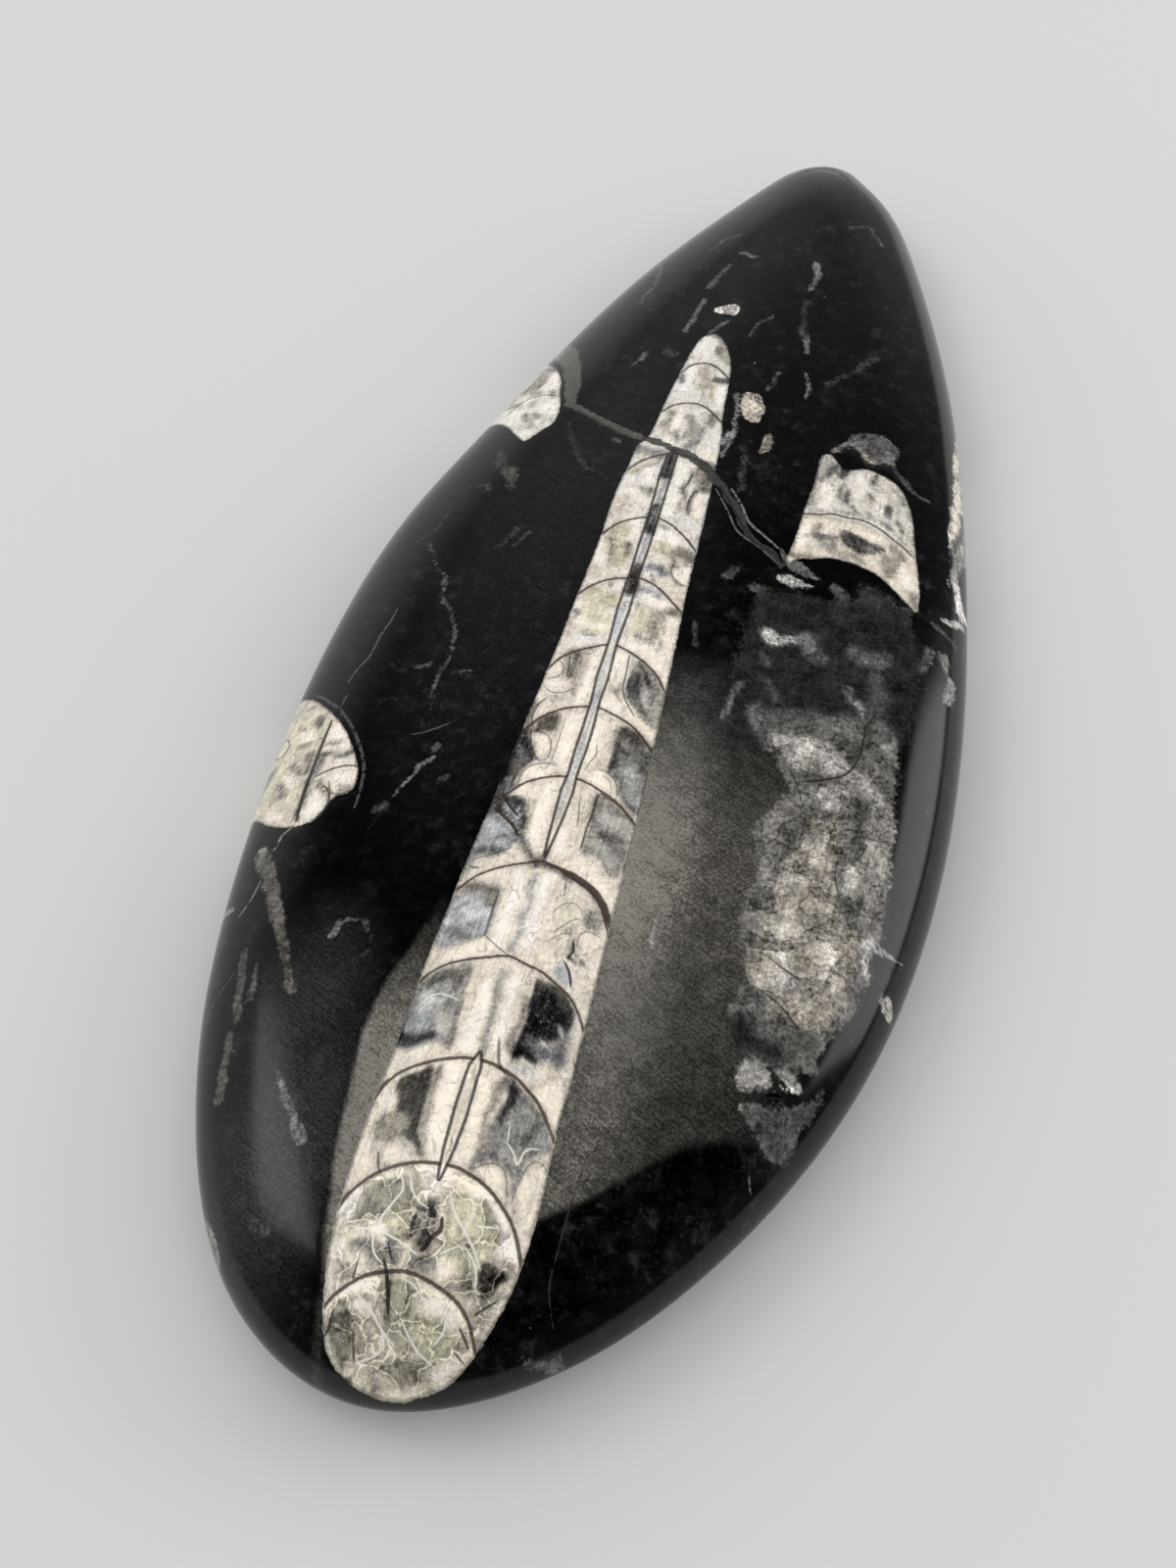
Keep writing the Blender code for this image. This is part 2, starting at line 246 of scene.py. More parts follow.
# Soft shading inside the fossils, laid on in this order: tone, hue (-1 blue, 0 neutral, 1 cream, 2 olive),
# width (0 for a closed area, or a pair from the first point to the last), points.
SHADES = [
    # point of the large fossil
    (0.94, 0.6, 1.6, [(-4.2, 46), (-4.2, 43.2)]),
    (0.62, 1.0, (1.7, 1.2), [(-1.6, 45.8), (-1.3, 43.8), (-0.6, 42)]),
    (0.44, 1.0, 0.9, [(-2.1, 44.8), (-1.8, 43.6)]),
    (0.42, 0.4, 1.2, [(-4.6, 48.2), (-2.9, 47.5), (-1.6, 46.4)]),
    (0.97, 0.3, 1.3, [(-4.7, 39.9), (-4.6, 37.6), (-5.1, 35.8)]),
    (0.48, 0.5, 0.8, [(-5.9, 38), (-5.5, 36.8)]),
    (0.64, 1.3, 1.5, [(-3, 40.2), (-2.7, 38.4), (-2.5, 36.2)]),
    (0.32, 0.6, (1.3, 1.2), [(-1, 38), (0.1, 37.7), (0.6, 38.3)]),
    (0.7, 1.4, 1.0, [(-1.2, 36.4), (-0.8, 34.6)]),
    (0.92, 0.7, 1.0, [(0.2, 36.4), (0, 35), (0.6, 33.4)]),
    (0.5, 0.8, (1.2, 0.8), [(-5.5, 30.3), (-5.2, 29.2), (-5.6, 28.3)]),
    (0.68, 1.0, 1.4, [(-5.8, 27.6), (-5.2, 26.4)]),
    (0.93, 0.8, 0.9, [(-4.2, 31.2), (-4.1, 29), (-4.7, 26.8)]),
    (0.55, 0.6, (1.2, 0.8), [(-2.7, 29.6), (-2, 27.6), (-2.6, 25.4)]),
    (0.42, 0.5, 0.7, [(-3.9, 26.4), (-3.6, 25.4), (-3.7, 24.4)]),
    (0.6, 0.5, 1.2, [(-1.2, 27.8), (-1.2, 25.6), (-1.6, 23.8)]),
    (0.56, 0.4, 1.6, [(0.3, 30.6), (0.2, 29)]),
    (0.84, 0.4, 0.8, [(0.2, 27.6), (0.5, 25.8)]),
    (0.52, 0.4, 0.5, [(-0.7, 27.6), (-0.6, 26), (-0.9, 24.8)]),
    (0.94, 1.0, (0.6, 1.4), [(-0.5, 24.2), (0.6, 23.4), (1.8, 21.6)]),
    (0.93, 1.0, 0.8, [(-4.8, 24.9), (-3.8, 24.3)]),
    # third chamber
    (0.5, 0.4, 1.8, [(-8, 22.4), (-6.4, 22), (-5, 21.9)]),
    (0.8, 1.1, 1.2, [(-7.7, 21), (-6.9, 20.6)]),
    (0.66, 1.2, 0.6, [(-7.8, 17.6), (-7, 18.4), (-5.9, 19.4), (-5, 20.4)]),
    (0.95, 0.6, 1.7, [(-5.6, 18.4), (-5.6, 16.6)]),
    (0.68, 0.9, 0.7, [(-5.8, 15.4), (-5, 14.6)]),
    (0.94, 0.8, 1.2, [(-7.2, 14.6), (-5.4, 13)]),
    (0.46, 0.6, 0.7, [(-4.5, 15), (-4.3, 14.3)]),
    (0.95, 0.6, 1.4, [(-1.6, 20), (-1.4, 16.6), (-1.6, 11.6)]),
    (0.4, 0.9, (2.6, 1.4), [(1.6, 20.4), (1.7, 18.4), (2.3, 16.6)]),
    (0.62, 1.0, 1.0, [(0.6, 19.4), (0.9, 17.4)]),
    (0.5, 0.7, 0.5, [(0, 19.4), (-0.3, 17.6), (-0.7, 16.2), (-0.5, 15)]),
    (0.36, 0.8, (0.9, 0.5), [(1.2, 16), (0.7, 14.6), (0.7, 13), (1.1, 11.6)]),
    (0.58, 0.8, 0.6, [(-0.2, 15), (-0.5, 13.4), (-0.2, 12.2)]),
    (0.94, 1.0, (0.8, 1.4), [(1.6, 15), (2, 13), (2, 11.8)]),
    (0.8, 1.1, 1.6, [(-7.8, 12.6), (-7.4, 9.4)]),
    # fourth chamber
    (0.76, 1.9, 2.8, [(-6.6, 7.4), (-6.2, 4.6), (-5.6, 2)]),
    (0.94, 0.5, 1.2, [(-4.9, 8.9), (-4.7, 7.4)]),
    (0.95, 0.6, (0.8, 1.2), [(-8.2, 5.2), (-8.2, 3.2), (-7.6, 1.2)]),
    (0.56, 1.2, 0.5, [(-7.5, 5.4), (-6.9, 4.4), (-6.7, 2.6)]),
    (0.46, 1.0, 0.7, [(-4.8, 4.8), (-4.6, 3)]),
    (0.8, 1.2, 2.4, [(-8, -0.4), (-6.4, -0.9)]),
    (0.97, 0.5, 2.4, [(-1.2, 7.8), (-0.2, 6.6)]),
    (0.6, 0.8, 0.6, [(-1.8, 8.8), (-0.8, 8.7)]),
    (0.74, 1.8, 2.0, [(-0.8, 5.2), (0.4, 4.6), (0.8, 2.8)]),
    (0.4, 1.2, (1.6, 1.8), [(1.6, 4.8), (2.6, 4.4), (3.2, 3.8)]),
    (0.58, 1.3, 0.8, [(1.2, 5.6), (1, 3.6), (1.4, 2.4)]),
    (0.9, 0.8, 1.6, [(-1.2, 3.4), (0, 2.9)]),
    (0.92, 0.9, (1.0, 1.6), [(3.2, 2.8), (2.6, 1.4), (3, 0.4)]),
    (0.56, 1.0, 0.4, [(1.2, 3), (1.2, 1.4), (2, 0.2), (3.2, -0.4)]),
    (0.46, -0.1, (0.8, 1.3), [(-1.7, 1.7), (-0.6, 1.6), (0.4, 0.9)]),
    (0.94, 0.3, 0.9, [(-1.5, 0.5), (-0.6, 0.7)]),
    (0.46, 0.5, 0.4, [(-0.6, 0.6), (-0.4, -0.6)]),
    (0.84, 1.2, 1.4, [(0.6, -0.4), (2.4, -1.6), (3.4, -3.2)]),
    # fifth chamber
    (0.58, 0.6, 0.8, [(-5.5, -2.1), (-5, -2.7)]),
    (0.76, 1.9, 2.6, [(-7, -4.2), (-5.6, -5), (-4.4, -4.6)]),
    (0.95, 0.6, 1.0, [(-4.8, -3.4), (-4.2, -2.4)]),
    (0.95, 0.9, 1.2, [(-8.2, -6.2), (-7.8, -7)]),
    (0.82, 1.8, 2.6, [(-6.6, -7.2), (-5.2, -8.4), (-5.8, -9.8)]),
    (0.38, 0.6, 0.6, [(-8.4, -7.5), (-7.9, -7.7)]),
    (0.46, 0.6, 0.5, [(-8, -8.3), (-7.6, -8.8)]),
    (0.7, 0.9, 1.4, [(-8.6, -9.2), (-8.5, -11.4)]),
    (0.95, 0.9, 1.4, [(-7.4, -8.8), (-6.2, -9.3), (-4.6, -9.2)]),
    (0.56, 0.9, 0.6, [(-6.2, -10.5), (-5.4, -10.8)]),
    (0.94, 0.2, 1.2, [(-6.4, -11.6), (-4.6, -11.4)]),
    (0.6, -0.1, (1.2, 0.8), [(-1.6, -2.3), (-0.6, -2.5), (0.4, -2.2)]),
    (0.54, 0.4, 0.4, [(0.3, -2.4), (0.6, -3.4)]),
    (0.97, 0.7, (1.0, 1.4), [(-0.6, -3.4), (0.6, -4.2), (2, -4.4)]),
    (0.6, 1.0, 0.6, [(-1.5, -4.8), (-1.2, -5.6)]),
    (0.82, 1.7, 2.4, [(-0.6, -6.4), (-0.4, -8.4)]),
    (0.48, 1.3, (1.3, 1.5), [(2.6, -4.9), (3.5, -5.2)]),
    (0.6, 1.6, (1.6, 1.2), [(1.4, -5.8), (1.2, -7.6), (1.6, -9.4)]),
    (0.92, 1.0, (0.9, 1.3), [(3.1, -6.6), (3.3, -9), (3.8, -11.6)]),
    (0.6, 1.0, 0.3, [(2.2, -6.3), (2.4, -8.4), (2.8, -10.6)]),
    (0.48, 0.8, 0.7, [(-0.5, -9.6), (0.2, -9.9)]),
    (0.52, 0.9, 0.6, [(0.8, -10.2), (1.6, -10.4)]),
    (0.96, 0.6, 1.2, [(-1.6, -10.6), (-0.6, -11.6)]),
    (0.95, 1.0, 1.5, [(0.8, -11.6), (2.4, -12.6), (3.4, -14)]),
    # sixth chamber
    (0.62, 0.9, 2.6, [(-6.6, -14.4), (-6.4, -16.6)]),
    (0.64, 1.1, (1.4, 0.9), [(-5.3, -13.4), (-5.3, -16), (-5.5, -18.6), (-5.2, -20.2)]),
    (0.34, 0.8, (0.5, 0.7), [(-6.2, -13.9), (-6.1, -15.6), (-6.1, -17.6)]),
    (0.92, 0.9, (0.9, 1.4), [(-8.4, -16.3), (-8.3, -17.2)]),
    (0.92, 0.8, 1.2, [(-8, -19.2), (-6.3, -19.1)]),
    (0.8, 0.9, 0.9, [(-7.6, -21.2), (-6, -20.9), (-4.8, -21)]),
    (0.97, 0.8, 1.2, [(-4.3, -13.6), (-4.2, -17), (-4.4, -20.6)]),
    (0.5, 0.6, 0, [(0.8, -13.6), (2, -14.2), (3.6, -15.6), (4.6, -17.4), (5.2, -20.5), (5.2, -23),
        (3.8, -22.6), (2.4, -21.2), (1.2, -19.6), (0.7, -17.6), (0.6, -15.2)]),
    (0.26, 0.5, (0.9, 1.3), [(1.2, -15.6), (1.3, -17), (1.6, -18.4)]),
    (0.18, 0.5, (0.4, 0.8), [(1.6, -14.6), (2.1, -15.6), (2.8, -17.2)]),
    (0.76, 0.3, (0.6, 0.4), [(2.6, -17.6), (2.8, -19), (3.2, -20.4)]),
    (0.64, 0.5, 1.2, [(4.4, -18.6), (4.3, -20.4), (4.6, -22)]),
    (0.38, 0.5, 0.9, [(1.8, -19.4), (3, -20.8)]),
    (0.92, 1.0, (0.7, 1.0), [(0.6, -19.6), (1.8, -21), (3.2, -22.4), (4.4, -23.6)]),
    (0.52, 0.8, 0.8, [(-1.1, -18.4), (-0.5, -18.2)]),
    (0.6, 0.8, 0.5, [(-0.2, -17.2), (-0.2, -18.8), (0.1, -19.8)]),
    (0.97, 0.8, 1.2, [(-1.2, -13.2), (-1.1, -16.6)]),
    (0.96, 0.8, 1.4, [(-1, -20.4), (0.2, -21.2)]),
    # seventh chamber
    (0.32, 1.2, 0, [(-8.2, -25.6), (-7.4, -24.4), (-6.2, -23.5), (-5.9, -24.6), (-5.9, -26.3), (-6.8, -26.2),
        (-8, -26.3)]),
    (0.5, 0.6, 0.9, [(-9.2, -22.6), (-9.3, -24.6), (-9, -26)]),
    (0.13, 0.3, 0, [(-9.6, -26.8), (-8.6, -26.4), (-7.9, -28.6), (-6.9, -30.4), (-7.8, -31.6), (-8.1, -33.4),
        (-8.2, -34.9), (-9.8, -35.2), (-9.8, -31)]),
    (0.48, -0.3, (0.6, 1.0), [(-9.2, -28.6), (-8.7, -29.8), (-8.2, -30.6)]),
    (0.42, 1.4, 1.2, [(-8.7, -31.4), (-8.5, -32.4)]),
    (0.5, -0.3, 1.0, [(-9, -33.6), (-8.8, -34.6)]),
    (0.94, 0.9, 0, [(-8.2, -26.7), (-6.8, -26.6), (-5.8, -27.4), (-5.5, -29), (-5.9, -30.2), (-6.6, -29.6),
        (-7.6, -28.2)]),
    (0.95, 1.0, 1.7, [(-6.6, -32.4), (-5.2, -31.8)]),
    (0.97, 0.8, 1.4, [(-4.2, -23.6), (-4.1, -27), (-4.1, -30.6)]),
    (0.44, 0.4, 0, [(1.1, -23.8), (2.2, -23.6), (4.4, -24.6), (5.9, -26.4), (6.2, -29.6), (6.4, -34.6),
        (4.8, -34.3), (3.4, -33.2), (2.9, -31.4), (1.6, -30.2), (1.1, -29.2), (1, -26.2)]),
    (0.28, 0.9, 1.4, [(1.6, -24.4), (2.6, -24.6), (3.6, -25.4)]),
    (0.2, 0.5, 0.8, [(1.6, -26.4), (1.5, -28.2), (1.6, -29.6)]),
    (0.62, 0.2, 1.6, [(3.6, -29.4), (4.6, -31.4), (5.2, -33.2)]),
    (0.28, 0.3, 0.4, [(2.4, -27.2), (3.6, -27.6)]),
    (0.38, 0.4, 1.0, [(4.9, -26.6), (5.2, -29)]),
    (0.82, 1.1, 0.8, [(0.6, -24.6), (0.7, -27), (0.6, -29.4)]),
    (0.97, 0.8, 1.4, [(-1.1, -23.4), (-1.1, -26), (-1.2, -29)]),
    (0.97, 0.9, (1.6, 1.2), [(0.6, -31.2), (1.6, -32.4)]),
    # eighth chamber
    (0.95, 1.0, 1.2, [(-7, -34.8), (-5.2, -35.2)]),
    (0.18, 0.2, 0, [(-10.2, -35.6), (-8.2, -35.6), (-6.4, -36.4), (-5.6, -38), (-5.5, -40.2), (-6.6, -39.8),
        (-8.6, -38.2), (-10.3, -38.4)]),
    (0.68, -0.5, (0.9, 0.7), [(-8.2, -36.8), (-7.4, -38), (-6.2, -39.4)]),
    (0.6, -0.5, 0.4, [(-9.6, -37), (-9.4, -38.6)]),
    (0.78, -0.4, 0.4, [(-6.8, -37.2), (-6.2, -38.4)]),
    (0.62, -0.6, 0, [(-10.3, -39.2), (-9.2, -38.6), (-7.8, -39.3), (-6.3, -40.6), (-5.6, -42), (-6.6, -43.2),
        (-8.6, -43.8), (-10.4, -44)]),
    (0.8, -0.3, (0.5, 0.9), [(-9.2, -39.4), (-8.6, -40.6), (-7.2, -42.2)]),
    (0.38, 0.0, 0.4, [(-8, -41.2), (-6.8, -41.4)]),
    (0.4, 0.2, 1.2, [(-9.6, -43.6), (-7.6, -43.4)]),
    (0.66, 1.3, 0.6, [(-5.2, -36.2), (-5.1, -38.4), (-5.2, -40.8)]),
    (0.97, 0.8, 1.4, [(-4.2, -33.6), (-4.1, -37.6), (-4, -41.4)]),
    (0.86, 1.1, 1.6, [(-9.2, -46.4), (-7.4, -45.2), (-5.4, -43.6)]),
    (0.55, 0.3, 1.2, [(-10.2, -43.8), (-10.4, -46.2)]),
    (0.53, 0.5, 0, [(1.2, -33.4), (2.6, -34), (4.4, -34.6), (6.2, -36.4), (6.4, -41), (5.6, -43), (4, -42.8),
        (3.2, -41.8), (1.6, -41.8), (1.2, -38.6)]),
    (0.7, 0.4, (1.6, 1.2), [(2.6, -36.6), (4.6, -36.4), (5.8, -35.8)]),
    (0.38, 0.3, 1.0, [(3, -38.9), (4.6, -38.8)]),
    (0.68, 0.4, 1.4, [(3.6, -40.8), (4.6, -41.8)]),
    (0.78, 1.1, 0.8, [(0.7, -34.6), (0.7, -37.8), (0.8, -41)]),
    (0.95, 1.0, 1.3, [(1.4, -43.2), (3.2, -43.9), (4.6, -45.2)]),
    (0.98, 0.7, 1.2, [(-1, -39.5), (-0.8, -42.4)]),
    # ninth chamber
    (0.7, -0.2, 0, [(-10.4, -50.4), (-9.2, -48.8), (-7.4, -48), (-5.8, -48.2), (-5.4, -50.4), (-5.4, -53.6),
        (-6.6, -54.6), (-9, -55.8), (-10.8, -54.6)]),
    (0.46, 0.9, (1.0, 1.4), [(-9.2, -48.2), (-7.8, -48), (-6.2, -48.6), (-6, -50)]),
    (0.9, -0.1, (0.6, 0.9), [(-9.6, -50.4), (-8.4, -51.6), (-7, -51.6)]),
    (0.86, 0.0, 0.5, [(-6.9, -50.4), (-6, -51.8)]),
    (0.5, 0.0, 0.5, [(-9.8, -51), (-8.6, -50.4)]),
    (0.38, 0.3, (1.4, 1.0), [(-9.8, -53.6), (-8.6, -54.2), (-7.2, -54.6)]),
    (0.6, 0.0, 0.8, [(-7.6, -53), (-6.2, -53.2)]),
    (0.82, 1.0, 1.4, [(-9.8, -57.4), (-8.4, -56.6)]),
    (0.95, 1.0, 1.6, [(-8.2, -57), (-5.2, -55.8)]),
    (0.66, 0.2, 0.5, [(-2.3, -45.6), (-2.3, -48.6), (-2.2, -51.6), (-2.2, -55.4)]),
    (0.98, 0.6, 1.5, [(-3.8, -46.4), (-3.8, -51), (-3.9, -55)]),
    (0.97, 0.5, 1.2, [(-1.2, -46), (-1, -50), (-0.9, -54.6)]),
    (0.82, 1.2, 2.6, [(1.8, -48.6), (2, -51.4)]),
    (0.56, 1.0, 0.6, [(2.2, -51.6), (3.2, -51.2)]),
    (0.58, 0.6, 0, [(4.1, -48.6), (5.2, -48.2), (5.7, -49.4), (5.2, -50.2), (4.2, -50.4)]),
    (0.93, 1.0, 1.8, [(5, -51.9), (5.1, -52.4)]),
    (0.56, 0.8, 0.8, [(3.4, -52.4), (3.6, -53.8)]),
    (0.26, 0.6, 0.5, [(3.5, -54.7), (5.2, -54.8)]),
    (0.7, -0.2, (1.6, 1.0), [(3.2, -56.2), (4, -57.2)]),
    (0.86, 1.0, 1.6, [(5.6, -56.2), (6, -58.8)]),
    # inside the tube, dark where it narrows at each wall
    (0.16, 0.4, 1.3, [(-3.35, 22.8), (-3.3, 17.9)]),
    (0.64, -0.2, 0.6, [(-3.3, 17), (-3.2, 12.6)], 0.5),
    (0.17, 0.4, 1.2, [(-3.2, 12.1), (-3.05, 7.7)]),
    (0.46, -0.2, 0.5, [(-3.15, 11.2), (-3.1, 8.9)], 0.5),
    (0.7, -0.2, 0.6, [(-3.05, 6.9), (-2.95, 1.9)], 0.5),
    (0.17, 0.4, 1.3, [(-2.95, 1.1), (-2.9, -2.9)]),
    (0.8, -0.3, 0.8, [(-2.9, -3.9), (-2.8, -10.8)], 0.5),
    (0.74, 0.0, 0.6, [(-2.7, -13), (-2.4, -24), (-2.2, -38)], 0.5),
    # dark grains where the tube ends
    (0.33, 0.6, (0.8, 1.1), [(-5.9, -40.7), (-4.6, -42.2), (-3.5, -43.6), (-2.6, -44.3)]),
    (0.33, 0.6, (0.7, 0.9), [(-2.1, -42.6), (-2.1, -44.1), (-0.4, -44.7), (1.4, -45.2)]),
    (0.36, 0.6, (1.1, 0.5), [(0.6, -45), (2.2, -45.4), (3.4, -45.9), (4.7, -46.9), (5.9, -48.3)]),
    # tenth chamber
    (0.6, 0.2, 0, [(-10.8, -60.6), (-9.4, -59.2), (-7.4, -58.3), (-5.6, -58), (-5.4, -61), (-5.2, -64.6),
        (-4.8, -67), (-6.4, -67.2), (-8.6, -67.8), (-10.8, -67.6), (-11.1, -64)]),
    (0.33, 0.8, (1.4, 1.6), [(-9.4, -60), (-8, -59.6), (-6.6, -59.6)]),
    (0.44, 0.5, 1.2, [(-6.4, -60.6), (-6.6, -63.2)]),
    (0.86, 0.0, (0.7, 1.0), [(-9.6, -61.4), (-8.6, -62.2)]),
    (0.84, 0.0, 0.4, [(-9.4, -63.2), (-8.3, -62.4)]),
    (0.62, -0.5, 1.6, [(-9.2, -64.4), (-8.6, -65.2)]),
    (0.76, 0.3, 0.5, [(-7.4, -61.6), (-5.8, -61.4)]),
    (0.72, 0.6, 1.0, [(-7.2, -64.4), (-6.4, -65.8)]),
    (0.12, 0.3, (1.6, 0.9), [(-10.8, -66.8), (-9, -66.8), (-7.2, -66.4)]),
    (0.5, 0.9, 0.5, [(-5.6, -58.6), (-5.4, -61.6), (-5.4, -64.6), (-5.1, -67.2)]),
    (0.86, 1.2, 1.0, [(-4.7, -59.6), (-4.6, -62.6), (-4.4, -65.6)]),
    (0.98, 0.7, 1.3, [(-3.5, -60.6), (-3.3, -64), (-3.4, -67.4)]),
    (0.58, 0.7, 0.9, [(-2.1, -58.4), (-2, -61.6), (-1.9, -64.6), (-1.8, -67.6)]),
    (0.95, 0.6, 0.8, [(-0.9, -58.6), (-0.7, -62.4), (-0.6, -66.6)]),
    (0.76, 1.2, 1.0, [(0.6, -58.8), (0.6, -61.4)]),
    (0.48, 0.8, (0.5, 0.8), [(0.9, -60.4), (0.8, -63.4), (0.4, -66.6)]),
    (0.92, 0.8, 0.4, [(-0.2, -63.6), (0.1, -66), (0.5, -68)]),
    (0.52, 0.5, 1.8, [(5.4, -63.4), (5.6, -66)]),
    (0.08, 0.3, 0, [(1.4, -58.4), (2.8, -58.2), (4.4, -59), (5.5, -60.2), (5.8, -61.6), (5.2, -63.2),
        (4.2, -64.2), (3.2, -64.4), (3.6, -66.9), (2.4, -66.6), (1, -67.6), (1.3, -64.4), (1.4, -61)]),
    (0.3, 0.8, 1.0, [(2, -58.5), (3.8, -59), (5.1, -60.2)]),
    (0.42, -0.2, (1.2, 1.6), [(2.6, -65), (3.8, -65.6), (5, -65.4)]),
    (0.74, 0.2, 0.6, [(4.8, -62.4), (5.1, -62.9)]),
    (0.9, 0.9, 1.8, [(-9.6, -69), (-8.2, -68.8)]),
    (0.78, 0.4, 1.5, [(1.6, -68.2), (3.2, -68)]),
    (0.94, 1.0, 0, [(3.7, -69.8), (4.8, -68.4), (6.8, -67.5), (7.3, -72.1), (6.6, -72.5), (5.4, -71.1)]),
    # eleventh chamber
    (0.2, 1.0, 0, [(-9.1, -71.6), (-7.9, -70.8), (-6.1, -69.9), (-5.6, -72.2), (-5.4, -75), (-5, -77.4),
        (-4.1, -79), (-5.3, -78.2), (-6.6, -77.6), (-6.8, -75.6), (-8, -74.8), (-8.6, -73.2)]),
    (0.54, 1.4, 0, [(-9.8, -76), (-8.2, -74.8), (-6.8, -75), (-6.2, -76.6), (-7.2, -77.8), (-9.4, -77.6)]),
    (0.9, 0.8, 1.4, [(-9.9, -72.6), (-9.7, -74.2)]),
    (0.92, 1.0, 1.6, [(-10.3, -78.6), (-10, -80)]),
    (0.88, 0.9, 0, [(-8.2, -79.8), (-8.2, -78.3), (-6.8, -78.2), (-5.3, -79), (-4.7, -79.5), (-5.4, -80.2),
        (-7.5, -80.7)]),
    (0.86, 1.0, 1.2, [(-10, -82), (-9.2, -81.2)]),
    (0.55, 0.9, 0.6, [(-5.3, -70), (-5.2, -72.6), (-4.9, -75.4), (-4.2, -77.8)]),
    (0.99, 0.8, 1.7, [(-3.8, -70), (-3.7, -73.6), (-3.4, -77.6)]),
    (0.5, 0.3, 0, [(1, -70), (2.4, -69.5), (3.7, -70.4), (5.3, -71.9), (6.4, -73.3), (7.1, -74.6),
        (6, -75.6), (5.2, -77), (5, -80), (4.4, -78.4), (2.8, -77.6), (1.4, -78.4), (0.7, -79), (1, -75)]),
    (0.62, 1.1, 1.0, [(0.7, -70.6), (0.8, -74), (1, -77)]),
    (0.88, 1.0, 0.6, [(1.5, -71.2), (1.3, -74)]),
    (0.16, 0.4, (1.1, 0.7), [(2.5, -70.6), (2.2, -72.2), (1.9, -73.8)]),
    (0.6, 0.3, 0.9, [(4.8, -73.6), (6, -74)]),
    (0.34, 0.3, 0.8, [(5.2, -73), (4.8, -74.8)]),
    (0.66, 0.4, 1.0, [(3, -76.8), (4.2, -77)]),
    (0.96, 1.0, 1.2, [(-0.4, -70.4), (-0.2, -74), (0, -78)]),
    (0.94, 1.0, 0, [(1.1, -79), (2, -78.3), (3.1, -78.1), (3.9, -78.7), (4.4, -80.6), (4, -81.3),
        (2.5, -80.4)]),
    (0.9, 1.1, 0, [(5.2, -80.8), (5.3, -78.9), (5.7, -76.9), (6.3, -76.2), (7.2, -76.4), (7.6, -80),
        (7.4, -83), (6.2, -82.4)]),
    # the two widest chambers
    (0.8, 1.3, 0, [(-10.6, -85), (-9.6, -82.8), (-7.3, -81), (-3.4, -79.7), (-0.8, -79.5), (3.1, -80.8),
        (5.8, -83.1), (7.2, -86), (7.4, -88), (6, -92), (4, -97), (-1.5, -100.4), (-6, -99.4), (-9.4, -95),
        (-10.6, -89)]),
    (0.97, 0.7, (3.2, 1.4), [(-2.2, -80.6), (-2, -82.4)]),
    (0.95, 0.6, (1.8, 1.6), [(2.4, -81.4), (5, -83.2), (6.3, -85.2)]),
    (0.93, 0.6, 1.8, [(5.4, -84.6), (5.6, -86.2)]),
    (0.95, 0.3, (1.4, 1.8), [(-9.4, -83.4), (-9.8, -85.2)]),
    (0.7, 1.9, 0, [(-7.4, -82.6), (-5.2, -82), (-3.6, -83.2), (-2.4, -84.6), (-2.8, -87), (-4.6, -86.8),
        (-6, -85.8), (-7.8, -86.4), (-8.2, -84.6)]),
    (0.55, 1.2, 1.2, [(-7.2, -84.4), (-6.2, -85.4)]),
    (0.74, 2.0, 0, [(0.2, -82), (2.2, -81.6), (4.2, -83), (4.8, -85.4), (4, -88.4), (2.2, -88.6),
        (0.6, -86.6), (0, -84.4)]),
    (0.6, 1.5, (1.6, 1.2), [(2.4, -86.2), (3, -88), (3.6, -89.8)]),
    (0.36, 0.8, (1.6, 1.2), [(-1.8, -83.8), (-1.2, -85.4), (-1.5, -87.2)]),
    (0.46, 0.7, 0.9, [(-2.8, -84.2), (-2.9, -86.4)]),
    (0.4, 0.6, (1.0, 1.5), [(-7.8, -88.2), (-6.4, -88.2), (-5.2, -89.2)]),
    (0.4, 0.5, (1.4, 1.0), [(-4.4, -87.8), (-3.6, -89.2)]),
    (0.52, 0.4, 1.3, [(-1.6, -88.9), (-0.2, -88.8)]),
    (0.93, 1.0, 1.4, [(1, -88.6), (1.6, -88.4)]),
    (0.9, 0.7, (1.4, 1.8), [(-9.6, -88.6), (-9.4, -91.6), (-9.6, -93.6)]),
    (0.6, 0.8, 1.2, [(-7.8, -90.6), (-7.4, -91.8)]),
    (0.56, 0.9, 1.6, [(5.4, -86.6), (6.4, -86.8)]),
    (0.09, 1.0, 0, [(4.2, -87.4), (5.4, -87), (6.4, -87.4), (6, -88.6), (5.4, -89.6), (4.4, -89.4)]),
    (0.72, 1.1, 0, [(4.4, -90.6), (6.2, -89.4), (7.4, -89), (7.4, -92), (5.8, -94.8), (5, -93.2)]),
    (0.93, 0.6, (0.9, 1.2), [(-8.6, -92.8), (-7.2, -92), (-5.4, -91.6)]),
    (0.6, 1.0, 0.5, [(-7.6, -93.4), (-5.6, -92.8)]),
    (0.88, 0.8, 0.6, [(-7, -93.8), (-5.2, -93.4)]),
    (0.5, 1.2, 0, [(-8.2, -94.4), (-6.2, -94), (-5.6, -96.4), (-5.8, -98), (-7.6, -97.2), (-8.4, -95.8)]),
    (0.76, 1.3, 0, [(-5.2, -94.4), (-3.2, -94.8), (-2.6, -96), (-4.4, -97.6), (-5, -96.4)]),
    (0.66, 1.7, (2.4, 1.6), [(-2.4, -91.6), (-2, -93.6), (-1, -95.2)]),
    (0.72, 2.0, 0, [(-1.6, -93.6), (0, -93), (1.4, -93), (2.6, -93.6), (4, -94.6), (3, -96), (0.8, -95.9),
        (-0.4, -94.8)]),
